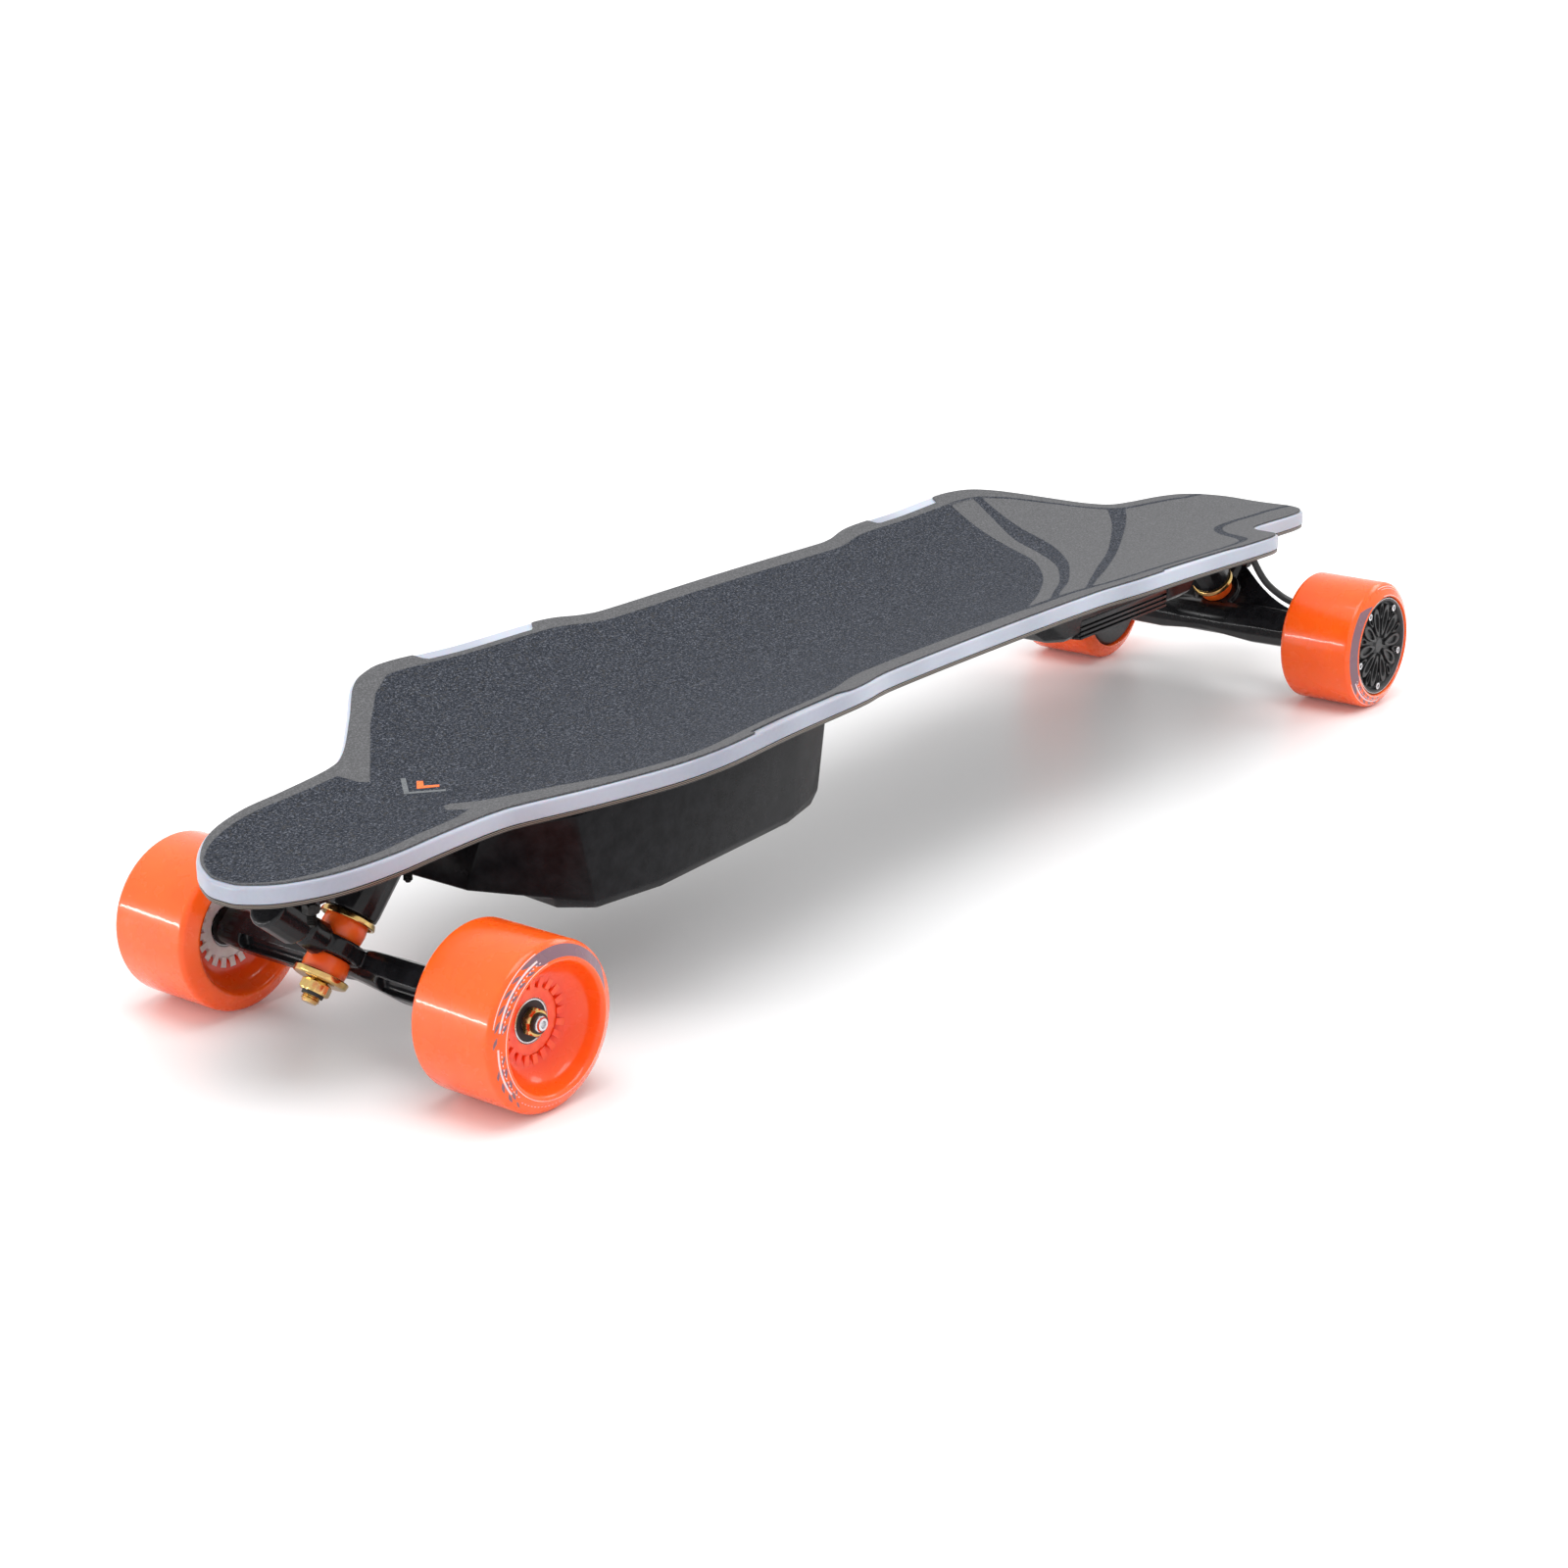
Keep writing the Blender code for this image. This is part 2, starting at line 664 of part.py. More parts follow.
def truck_bolt(name, truck, axle_x, outward, x, y, mat):
    """A countersunk screw down through deck and plate, with its nut and a bare thread end."""
    world_x = axle_x + outward * x
    head_top = deck_top(world_x, BOLT_SPACING[1] / 2) - CORE_TOP - 0.6 * MM
    middle = axle_x + outward * BOLT_CENTRE_X
    fall = outward * deck_slope(middle) * (x - BOLT_CENTRE_X)
    plate_low = deck_bottom(middle, 0) - GAP - PLATE_THICKNESS + fall
    nut_top = plate_low - 0.6 * MM
    nut_low = nut_top - 5 * MM
    end = nut_low - 7 * MM
    shank = 2.4 * MM
    profile = [
        (0, head_top), (4.6 * MM, head_top), (shank, head_top - 2.4 * MM), (shank, nut_top),
        (4.5 * MM, nut_top), (4.5 * MM, nut_low), (shank, nut_low), (shank, end), (0, end),
    ]
    bolt = solid(name, turned(profile, BOLT_STEPS), mat, parent=truck)
    bolt.location = (x, y, 0)
    return bolt


def kingpin(prefix, truck, mat):
    profile = [
        (0, 52 * MM), (8.2 * MM, 52 * MM), (8.2 * MM, 45 * MM), (KINGPIN_RADIUS, 45 * MM),
        (KINGPIN_RADIUS, -28 * MM), (KINGPIN_RADIUS - 1 * MM, -29.5 * MM), (0, -29.5 * MM),
    ]
    return on_kingpin(f"{prefix}_kingpin", profile, mat, truck, SMALL_STEPS)


def kingpin_nut(prefix, truck, mat):
    nut = on_kingpin(f"{prefix}_kingpin_nut", rod(8.2 * MM, -26.4 * MM, -19 * MM), mat, truck, steps=6)
    bore = rod(KINGPIN_RADIUS + GAP, -30 * MM, -15 * MM)
    combine(nut, on_kingpin(f"{prefix}_nut_bore", bore, None, truck, SMALL_STEPS), "DIFFERENCE")
    return nut


def cup_washer(name, truck, face, direction, mat):
    """A dished washer whose rim folds over the bushing."""
    back = face + direction * 1.5 * MM
    lip = face - direction * 1.6 * MM
    inner = KINGPIN_RADIUS + GAP
    profile = [
        (inner, face), (12.6 * MM, face), (13.4 * MM, lip),
        (14.8 * MM, lip), (13.6 * MM, back), (inner, back),
    ]
    return on_kingpin(name, profile, mat, truck)


def bushing(name, truck, near, far, mat):
    low, high = sorted((near, far))
    profile = ring(KINGPIN_RADIUS + GAP, BUSHING_RADIUS, low, high, 0.8 * MM)
    return on_kingpin(name, profile, mat, truck)


def pivot_cup(prefix, truck, mat):
    profile = ring(PIVOT_PIN_RADIUS + GAP, 7.7 * MM, PIVOT_INNER + 1 * MM, PIVOT_OUTER - 4 * MM)
    return on_pivot(f"{prefix}_pivot_cup", profile, mat, truck)


def hanger_section(y, middle, half, power):
    """A rounded section across the hanger's arm, in the tilted frame."""
    count = 12
    points = []
    for k in range(count):
        turn = math.tau * (k + 0.5) / count
        c, s = math.cos(turn), math.sin(turn)
        along = middle[0] + half[0] * math.copysign(abs(c) ** (2 / power), c)
        up = middle[1] + half[1] * math.copysign(abs(s) ** (2 / power), s)
        point = tilted(along, up)
        points.append(Vector((point.x, y, point.z)))
    return points


def axle_in_ring_frame():
    offset = Vector((0, 0, WHEEL_RADIUS)) - RING_CENTRE
    along = offset.x * math.cos(TRUCK_TILT) + offset.z * math.sin(TRUCK_TILT)
    up = -offset.x * math.sin(TRUCK_TILT) + offset.z * math.cos(TRUCK_TILT)
    return along, up


def hanger(prefix, truck, arm_half, arm_end, boss_radius, boss_end, bore_radius, power, pockets, mat):
    """A ring for the kingpin, a neck up to the pivot, and two arms around the axle."""
    axle = axle_in_ring_frame()
    stations = (
        (0, (-20.5 * MM, -0.5 * MM), (9 * MM, 7.6 * MM)),
        (15 * MM, (-18.8 * MM, -1 * MM), (11.5 * MM, 8.6 * MM)),
        (36 * MM, axle, (arm_half + 0.6 * MM, arm_half)),
        (arm_end - 12 * MM, axle, (arm_half, arm_half)),
        (arm_end, axle, (arm_half - 0.8 * MM, arm_half - 0.8 * MM)),
    )
    mirrored = [(-y, middle, half) for y, middle, half in reversed(stations[1:])]
    sections = [hanger_section(*station, power) for station in (*mirrored, *stations)]
    body = solid(f"{prefix}_hanger", lofted(sections), mat, parent=truck)
    if pockets:
        arm_pockets(prefix, body, truck)
    boss = rod(boss_radius, -boss_end, boss_end)
    combine(body, along_axle(f"{prefix}_boss", boss, None, truck), "UNION")
    clearance = rod(BUSHING_RADIUS + 0.9 * MM, -30 * MM, 30 * MM)
    combine(body, on_kingpin(f"{prefix}_seat_clearance", clearance, None, truck, 20), "DIFFERENCE")
    eye = rod(15.5 * MM, -RING_HALF, RING_HALF, 0.8 * MM)
    combine(body, on_kingpin(f"{prefix}_eye", eye, None, truck, 24), "UNION")
    neck = [
        (0, 48 * MM), (3.6 * MM, 48 * MM), (PIVOT_PIN_RADIUS, 45 * MM), (PIVOT_PIN_RADIUS, 28.5 * MM),
        (8 * MM, 24 * MM), (8.6 * MM, 12.2 * MM), (0, 12.2 * MM),
    ]
    combine(body, on_pivot(f"{prefix}_neck", neck, None, truck), "UNION")
    hole = rod(7.6 * MM, -20 * MM, 20 * MM)
    combine(body, on_kingpin(f"{prefix}_eye_hole", hole, None, truck, SMALL_STEPS), "DIFFERENCE")
    bore = rod(bore_radius, -0.2, 0.2)
    combine(body, along_axle(f"{prefix}_bore", bore, None, truck), "DIFFERENCE")
    return body


def arm_pockets(prefix, body, truck):
    """A long casting pocket in the outward face of each arm."""
    for side in (1, -1):
        low = (5.5 * MM, min(side * 26 * MM, side * 72 * MM), WHEEL_RADIUS - 4 * MM)
        high = (20 * MM, max(side * 26 * MM, side * 72 * MM), WHEEL_RADIUS + 3.5 * MM)
        pocket = solid(f"{prefix}_pocket_{side}", block(low, high), parent=truck)
        combine(body, pocket, "DIFFERENCE")


def truck_set(prefix, axle_x, outward, mats):
    """The parts that both trucks share, below one empty under the axle."""
    truck = empty(f"{prefix}_truck", (axle_x, 0, 0), (0, 0, 0 if outward > 0 else math.pi))
    truck_baseplate(prefix, truck, axle_x, outward, mats["truck_black"])
    for index, (x, y) in enumerate(bolt_places(), start=1):
        truck_bolt(f"{prefix}_bolt_{index}", truck, axle_x, outward, x, y, mats["black_steel"])
    kingpin(prefix, truck, mats["zinc_gold"])
    kingpin_nut(prefix, truck, mats["zinc_gold"])
    upper = SEAT_HEIGHT - GAP - 1.5 * MM
    lower = -upper
    cup_washer(f"{prefix}_washer_upper", truck, upper, 1, mats["zinc_gold"])
    cup_washer(f"{prefix}_washer_lower", truck, lower, -1, mats["zinc_gold"])
    bushing(f"{prefix}_bushing_upper", truck, RING_HALF + GAP, upper - GAP, mats["orange_urethane"])
    bushing(f"{prefix}_bushing_lower", truck, lower + GAP, -RING_HALF - GAP, mats["orange_urethane"])
    pivot_cup(prefix, truck, mats["black_urethane"])
    return truck


# Wheels


def wheel_empty(name, truck, side):
    """An empty at the wheel's middle whose +Z points away from the board."""
    hub = empty(name, (0, side * WHEEL_SIDE, WHEEL_RADIUS), (math.radians(-90 * side), 0, 0))
    hub.parent = truck
    return hub


def tyre_outside():
    """The shared outer profile of both tyres, from the outer lip over the tread to the inner lip."""
    return [
        (LIP_RADIUS, LIP_HALF), (WHEEL_RADIUS - 1 * MM, SHOULDER_HALF), (WHEEL_RADIUS, TREAD_HALF),
        (WHEEL_RADIUS, -TREAD_HALF), (WHEEL_RADIUS - 1 * MM, -SHOULDER_HALF), (LIP_RADIUS, -LIP_HALF),
    ]


def front_wheel(prefix, truck, side, mats):
    hub = wheel_empty(f"{prefix}_spin", truck, side)
    dish = [
        (LIP_RADIUS - 1.2 * MM, -LIP_HALF), (27 * MM, -20.5 * MM), (CORE_RADIUS + GAP, -13 * MM),
        (CORE_RADIUS + GAP, 13 * MM), (27 * MM, 20.5 * MM), (LIP_RADIUS - 1.2 * MM, LIP_HALF),
    ]
    solid(f"{prefix}_tyre", turned(tyre_outside() + dish, WHEEL_STEPS), mats["orange_urethane"], parent=hub)
    seat = BEARING_RADIUS + GAP
    core = [
        (seat, CORE_HALF), (CORE_RADIUS, CORE_HALF), (CORE_RADIUS, -CORE_HALF), (seat, -CORE_HALF),
        (seat, -5 * MM), (9 * MM, -5 * MM), (9 * MM, 5 * MM), (seat, 5 * MM),
    ]
    solid(f"{prefix}_core", turned(core, 20), mats["white_nylon"], parent=hub)
    for name, low in (("outer", 5.3 * MM), ("inner", -12.3 * MM)):
        race = ring(AXLE_RADIUS + GAP, BEARING_RADIUS, low, low + 7 * MM)
        solid(f"{prefix}_bearing_{name}", turned(race, 20), mats["steel"], parent=hub)


def axle_nut(prefix, truck, side, mat):
    low = WHEEL_SIDE + 12.3 * MM + GAP
    nut = along_axle(f"{prefix}_axle_nut", rod(7.5 * MM, low, low + 6 * MM), mat, truck, steps=6)
    bore = along_axle(f"{prefix}_axle_nut_bore", rod(AXLE_RADIUS + GAP, 0.1, 0.14), None, truck)
    for part in (nut, bore):
        part.rotation_euler = (math.radians(-90 * side), 0, 0)
    combine(nut, bore, "DIFFERENCE")


def rear_wheel(prefix, truck, side, mats):
    hub = wheel_empty(f"{prefix}_spin", truck, side)
    bore = [(MOTOR_RADIUS + GAP, -LIP_HALF + 0.4 * MM), (MOTOR_RADIUS + GAP, LIP_HALF - 0.4 * MM)]
    solid(f"{prefix}_tyre", turned(tyre_outside() + bore, WHEEL_STEPS), mats["orange_urethane"], parent=hub)
    rotor = [
        (30.4 * MM, 22 * MM), (MOTOR_RADIUS, 22 * MM), (MOTOR_RADIUS, -26.6 * MM), (31.8 * MM, -28 * MM),
        (12.6 * MM, -28 * MM), (12.6 * MM, -25 * MM), (30.4 * MM, -25 * MM),
    ]
    solid(f"{prefix}_motor_rotor", turned(rotor), mats["motor_black"], parent=hub)
    plate = [
        (0, 26.4 * MM), (6 * MM, 26.4 * MM), (27 * MM, 25.6 * MM), (30 * MM, 28 * MM), (32.2 * MM, 28 * MM),
        (MOTOR_RADIUS, 27 * MM), (MOTOR_RADIUS, 22.3 * MM), (0, 22.3 * MM),
    ]
    solid(f"{prefix}_motor_faceplate", turned(plate), mats["motor_black"], parent=hub)
    stator = ring(MOTOR_SHAFT_RADIUS + GAP, 29.4 * MM, -21 * MM, 15 * MM)
    solid(f"{prefix}_motor_stator", turned(stator, 20), mats["copper"], parent=hub)


def spline_point(before, start, end, after, t):
    """A Catmull-Rom curve between start and end."""
    return 0.5 * (
        2 * start
        + (end - before) * t
        + (2 * before - 5 * start + 4 * end - after) * t**2
        + (3 * start - before - 3 * end + after) * t**3
    )


def motor_cable(name, truck, side, mat):
    """The lead from the controller's exit under the deck down to the motor's end of the hanger arm."""
    route = [
        (-10, 36, 104.4), (-10, 36.4, 98), (-9, 39.5, 88), (-6, 47, 75),
        (-3, 57, 66.5), (-1, 66, 62), (0, 73, 58.6),
    ]
    knots = [Vector((x * MM, side * y * MM, z * MM)) for x, y, z in route]
    padded = [2 * knots[0] - knots[1], *knots, 2 * knots[-1] - knots[-2]]
    points = []
    for i in range(len(knots) - 1):
        points += [spline_point(*padded[i : i + 4], t) for t in (0, 0.5)]
    points.append(knots[-1])
    curve = bpy.data.curves.new(name, "CURVE")
    curve.dimensions = "3D"
    curve.bevel_depth = 2.4 * MM
    curve.bevel_resolution = 2
    curve.use_fill_caps = True
    spline = curve.splines.new("POLY")
    spline.points.add(len(points) - 1)
    for spot, point in zip(spline.points, points):
        spot.co = (*point, 1)
    curve.materials.append(mat)
    cable = bpy.data.objects.new(name, curve)
    bpy.context.scene.collection.objects.link(cable)
    cable.parent = truck
    return cable


# Assembly


def all_materials():
    return {
        "maple": material("maple_ply", (0.05, 0.045, 0.04), 0.6),
        "rail": material("translucent_rail", (0.78, 0.82, 0.88), 0.3, 0.0, 0.3),
        "grip": material("grip_grit", (0.055, 0.06, 0.07), 0.95),
        "box_black": material("gloss_black_box", (0.012, 0.012, 0.013), 0.18),
        "cell_blue": material("cell_wrap", (0.05, 0.15, 0.35), 0.45),
        "board_green": material("circuit_board", (0.03, 0.16, 0.07), 0.5),
        "heatsink": material("heatsink_black", (0.02, 0.02, 0.022), 0.35, 0.6),
        "rubber": material("soft_rubber", (0.02, 0.02, 0.02), 0.7),
        "button": material("button_plastic", (0.03, 0.03, 0.03), 0.35),
        "truck_black": material("truck_black", (0.012, 0.012, 0.014), 0.25, 0.4),
        "black_steel": material("black_steel", (0.03, 0.03, 0.03), 0.4, 0.8),
        "zinc_gold": material("zinc_gold", (0.75, 0.58, 0.28), 0.25, 1.0),
        "steel": material("bearing_steel", (0.62, 0.62, 0.62), 0.25, 1.0),
        "orange_urethane": material("orange_urethane", (0.95, 0.2, 0.04), 0.25),
        "black_urethane": material("pivot_urethane", (0.03, 0.03, 0.03), 0.6),
        "white_nylon": material("white_nylon", (0.85, 0.8, 0.78), 0.45),
        "motor_black": material("motor_black", (0.025, 0.025, 0.027), 0.45, 0.3),
        "copper": material("winding_copper", (0.72, 0.38, 0.2), 0.4, 0.9),
        "cable": material("cable_sheath", (0.02, 0.02, 0.02), 0.4),
    }


def build_deck(mats):
    deck_core(mats["maple"])
    deck_rail(mats["rail"])
    grip_tape(mats["grip"])
    battery_enclosure(mats["box_black"])
    battery_pack(mats["cell_blue"])
    esc_enclosure(mats["box_black"])
    esc_heatsink(mats["heatsink"])
    esc_board(mats["board_green"])
    power_button(mats["button"])
    charge_port(mats["button"])
    charge_port_cap(mats["rubber"])


def build_front(mats):
    truck = truck_set("front", FRONT_AXLE_X, 1, mats)
    bore = AXLE_RADIUS + GAP
    hanger("front", truck, 10.2 * MM, 90 * MM, 6 * MM, 92.4 * MM, bore, 3.2, True, mats["truck_black"])
    along_axle("front_axle", rod(AXLE_RADIUS, -125.5 * MM, 125.5 * MM, 0.8 * MM), mats["steel"], truck)
    for word, side in (("left", 1), ("right", -1)):
        front_wheel(f"front_{word}", truck, side, mats)
        axle_nut(f"front_{word}", truck, side, mats["zinc_gold"])


def build_rear(mats):
    truck = truck_set("rear", REAR_AXLE_X, -1, mats)
    bore = MOTOR_SHAFT_RADIUS + GAP
    hanger("rear", truck, 11.6 * MM, 75.6 * MM, 11 * MM, 79.6 * MM, bore, 2.8, False, mats["truck_black"])
    along_axle("rear_axle", rod(MOTOR_SHAFT_RADIUS, -123 * MM, 123 * MM, 0.8 * MM), mats["steel"], truck)
    for word, side in (("right", 1), ("left", -1)):
        rear_wheel(f"rear_{word}", truck, side, mats)
        motor_cable(f"{word}_motor_cable", truck, side, mats["cable"])


clear_scene()
palette = all_materials()
build_deck(palette)
build_front(palette)
build_rear(palette)
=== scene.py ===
"""Looks of the electric skateboard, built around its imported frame."""

import math

import bmesh
import bpy
import numpy as np
from mathutils import Matrix, Vector


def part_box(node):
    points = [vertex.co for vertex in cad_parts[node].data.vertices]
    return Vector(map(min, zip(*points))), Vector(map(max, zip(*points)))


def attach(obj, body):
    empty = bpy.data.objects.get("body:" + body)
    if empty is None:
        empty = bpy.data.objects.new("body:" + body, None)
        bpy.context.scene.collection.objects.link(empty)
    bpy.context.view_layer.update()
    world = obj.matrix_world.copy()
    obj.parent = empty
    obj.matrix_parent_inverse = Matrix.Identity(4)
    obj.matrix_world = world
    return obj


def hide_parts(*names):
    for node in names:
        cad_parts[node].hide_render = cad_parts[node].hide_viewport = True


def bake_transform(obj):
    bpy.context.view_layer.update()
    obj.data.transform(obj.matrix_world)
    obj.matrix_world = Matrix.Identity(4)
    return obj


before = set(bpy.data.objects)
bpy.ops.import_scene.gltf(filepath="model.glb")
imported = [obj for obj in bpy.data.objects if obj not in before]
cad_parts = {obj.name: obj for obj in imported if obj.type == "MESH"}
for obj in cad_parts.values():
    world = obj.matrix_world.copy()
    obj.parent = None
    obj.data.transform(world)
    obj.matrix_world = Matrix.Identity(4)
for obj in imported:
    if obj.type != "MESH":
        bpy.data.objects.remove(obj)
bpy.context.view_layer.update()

MM = 0.001
FRONT_AXLE_X = 404 * MM
REAR_AXLE_X = -418 * MM
WHEEL_SIDE = 105.2 * MM
WHEEL_RADIUS = 42.5 * MM
WHEEL_Z = WHEEL_RADIUS
TRUCK_TILT = math.radians(40)
RING_CENTRE = Vector((13 * MM, 0, 56 * MM))
KINGPIN_RADIUS = 4.75 * MM
KINGPIN_HEAD_RADIUS = 8.2 * MM

DECK_CROWN = 127.1 * MM
CAMBER = 11.4 * MM
CAMBER_REACH = 411 * MM
CAMBER_CENTRE_X = -5 * MM
CONCAVE = 14 * MM
CONCAVE_REACH = 100 * MM
DECK_THICKNESS = 12.5 * MM
GRIP_THICKNESS = 0.9 * MM
PLY_THICKNESS = 2.2 * MM
RAIL_TOP = 1.2 * MM
RAIL_WIDTH = 9 * MM
GRIP_EDGE = 2 * MM
GRIP_EDGE_AT_WINDOW = 8.4 * MM
WINDOWS = ((150 * MM, 234 * MM), (-248 * MM, -171 * MM))
WINDOW_BLEND = 4 * MM
GLUE_LINES = ((10.7 * MM, 0.16 * MM), (11.6 * MM, 0.12 * MM))

CORE_TEETH = 20
PETALS = 10
RIM_DASHES = 60
COVER_SCREWS = 5
COVER_SCREW_CIRCLE = 28.2 * MM

# One motor lead in the truck's own millimetres, from the deck to the motor
LEAD_ROUTE = (
    (-10, 36, 104.4), (-10, 36.4, 98), (-9, 39.5, 88), (-6, 47, 75), (-3, 57, 66.5), (-1, 66, 62),
    (0, 73, 58.6),
)
LEAD_RADIUS = 2.4 * MM

CAMERA_PLACE = (1.3467, 1.0162, 0.585)
CAMERA_RIGHT = Vector((-0.61767, 0.78637, -0.01025))
CAMERA_BACK = Vector((0.74503, 0.58927, 0.31256))
CAMERA_LENS = 68.53

# Deck outline: nose to tail, distance along the board and half width, in millimetres
OUTLINE = (
    (486, 5), (484, 13), (474, 30), (453, 46.5), (425, 54.5), (395, 56), (362, 59), (345, 66.5),
    (315, 92), (290, 114.5), (272, 122.6), (252, 124), (206, 118.5), (141, 115), (112, 107.8), (88, 105.6),
    (-5, 105), (-92, 104.5), (-117, 105.6), (-146, 112.3), (-200, 115.2), (-240, 119), (-266, 120.6),
    (-290, 118.5), (-309, 111.5), (-326, 100.5), (-343, 86), (-361, 68.5), (-376, 58.5), (-396, 55.3),
    (-432, 53), (-456, 48.5), (-473, 39), (-484, 24), (-486, 5),
)


# Material helpers


class Look:
    """A Principled material and short ways to wire its nodes."""

    def __init__(self, name, roughness=0.5, metallic=0.0, **fixed):
        self.mat = bpy.data.materials.new(name)
        self.mat.use_nodes = True
        self.tree = self.mat.node_tree
        self.shader = self.tree.nodes["Principled BSDF"]
        self.shader.inputs["Roughness"].default_value = roughness
        self.shader.inputs["Metallic"].default_value = metallic
        for key, value in fixed.items():
            self.shader.inputs[key.replace("_", " ")].default_value = value
        self.where = self.node("ShaderNodeTexCoord").outputs["Object"]

    def node(self, kind, **inputs):
        made = self.tree.nodes.new(kind)
        for key, value in inputs.items():
            self.feed(made.inputs[key.replace("_", " ")], value)
        return made

    def feed(self, socket, value):
        if isinstance(value, bpy.types.NodeSocket):
            self.tree.links.new(value, socket)
        else:
            socket.default_value = value

    def math(self, operation, first, second=0.0):
        made = self.tree.nodes.new("ShaderNodeMath")
        made.operation = operation
        for socket, value in zip(made.inputs, (first, second)):
            self.feed(socket, value)
        return made.outputs[0]

    def times(self, first, second):
        return self.math("MULTIPLY", first, second)

    def between(self, value, low, high):
        return self.times(self.math("GREATER_THAN", value, low), self.math("LESS_THAN", value, high))

    def either(self, *values):
        result = values[0]
        for value in values[1:]:
            result = self.math("MAXIMUM", result, value)
        return result

    def polar(self):
        """Object x, y and z, and the distance from the z axis."""
        x, y, z = self.node("ShaderNodeSeparateXYZ", Vector=self.where).outputs
        squares = self.math("ADD", self.times(x, x), self.times(y, y))
        return x, y, z, self.math("SQRT", squares)

    def noise(self, scale, detail=2.0, roughness=0.5, vector=None):
        made = self.node("ShaderNodeTexNoise", Scale=scale, Detail=detail, Roughness=roughness)
        self.feed(made.inputs["Vector"], vector or self.where)
        return made.outputs["Fac"]

    def stretched(self, scale):
        made = self.node("ShaderNodeMapping", Vector=self.where)
        made.inputs["Scale"].default_value = scale
        return made.outputs["Vector"]

    def ramp(self, factor, *stops):
        made = self.node("ShaderNodeValToRGB", Fac=factor)
        elements = made.color_ramp.elements
        while len(elements) < len(stops):
            elements.new(0.5)
        for element, (position, colour) in zip(elements, stops):
            element.position = position
            element.color = (*colour, 1.0)
        return made.outputs["Color"]

    def span(self, value, low, high, to_low=0.0, to_high=1.0):
        made = self.node("ShaderNodeMapRange")
        for socket, number in zip(made.inputs, (value, low, high, to_low, to_high)):
            self.feed(socket, number)
        return made.outputs["Result"]

    def mix(self, factor, first, second):
        made = self.tree.nodes.new("ShaderNodeMix")
        made.data_type = "RGBA"
        for index, value in ((0, factor), (6, first), (7, second)):
            if isinstance(value, tuple):
                value = (*value, 1.0)
            self.feed(made.inputs[index], value)
        return made.outputs[2]

    def attribute(self, name):
        made = self.tree.nodes.new("ShaderNodeAttribute")
        made.attribute_name = name
        return made.outputs["Fac"]

    def bump(self, height, distance, strength=1.0):
        made = self.node("ShaderNodeBump", Height=height, Strength=strength, Distance=distance)
        self.feed(self.shader.inputs["Normal"], made.outputs["Normal"])

    def colour(self, value):
        self.feed(self.shader.inputs["Base Color"], value)

    def rough(self, value):
        self.feed(self.shader.inputs["Roughness"], value)


def speckled(name, dark, light, roughness, scale=260.0, bump=0.0, metallic=0.0, spread=0.08, **fixed):
    """A moulded, painted or machined surface: slight colour and gloss variation and a fine texture."""
    look = Look(name, roughness, metallic, **fixed)
    cloud = look.noise(scale, 4.0, 0.6)
    look.colour(look.ramp(cloud, (0.35, dark), (0.68, light)))
    haze = look.noise(38.0, 3.0, 0.55)
    look.rough(look.span(haze, 0.3, 0.7, roughness * (1 - spread), roughness * (1 + spread)))
    if bump:
        look.bump(look.noise(scale * 4, 3.0, 0.6), bump)
    return look.mat


def grip_look():
    """Coarse grit: dark blue-black and mid grey fields, each with bright and dark grains."""
    look = Look("grip_grit_print", 0.9, Specular_IOR_Level=0.18)
    coarse = look.noise(760.0, 2.0, 0.8)
    fine = look.noise(1500.0, 2.0, 0.7)
    grain = look.math("ADD", look.times(coarse, 0.6), look.times(fine, 0.4))
    tint = look.noise(480.0, 2.0, 0.6)
    dark = look.ramp(
        grain, (0.38, (0.006, 0.008, 0.012)), (0.49, (0.022, 0.026, 0.036)), (0.55, (0.045, 0.05, 0.064)),
        (0.62, (0.14, 0.15, 0.175)),
    )
    warm = look.mix(look.span(tint, 0.55, 0.68, 0.0, 0.5), dark, (0.055, 0.05, 0.042))
    grey = look.ramp(
        grain, (0.38, (0.078, 0.078, 0.08)), (0.5, (0.1, 0.101, 0.106)), (0.6, (0.15, 0.15, 0.156)),
    )
    ink = look.span(look.attribute("ink"), -0.0004, 0.0004)
    look.colour(look.mix(ink, grey, warm))
    look.bump(grain, 0.0006, 0.6)
    return look.mat


def ply_look():
    """Stained plies with two pale glue lines along the edge, told apart by their depth in the board."""
    look = Look("maple_ply_edge", 0.5)
    depth = look.attribute("depth")
    grain = look.noise(60.0, 5.0, 0.65, look.stretched((1.0, 12.0, 60.0)))
    wood = look.ramp(grain, (0.3, (0.012, 0.011, 0.010)), (0.7, (0.032, 0.028, 0.024)))
    lines = look.either(*(
        look.math("LESS_THAN", look.math("ABSOLUTE", look.math("SUBTRACT", depth, middle)), half)
        for middle, half in GLUE_LINES
    ))
    look.colour(look.mix(look.times(lines, 0.75), wood, (0.34, 0.26, 0.2)))
    look.rough(look.span(grain, 0.3, 0.7, 0.36, 0.55))
    look.bump(grain, 0.0001, 0.5)
    return look.mat


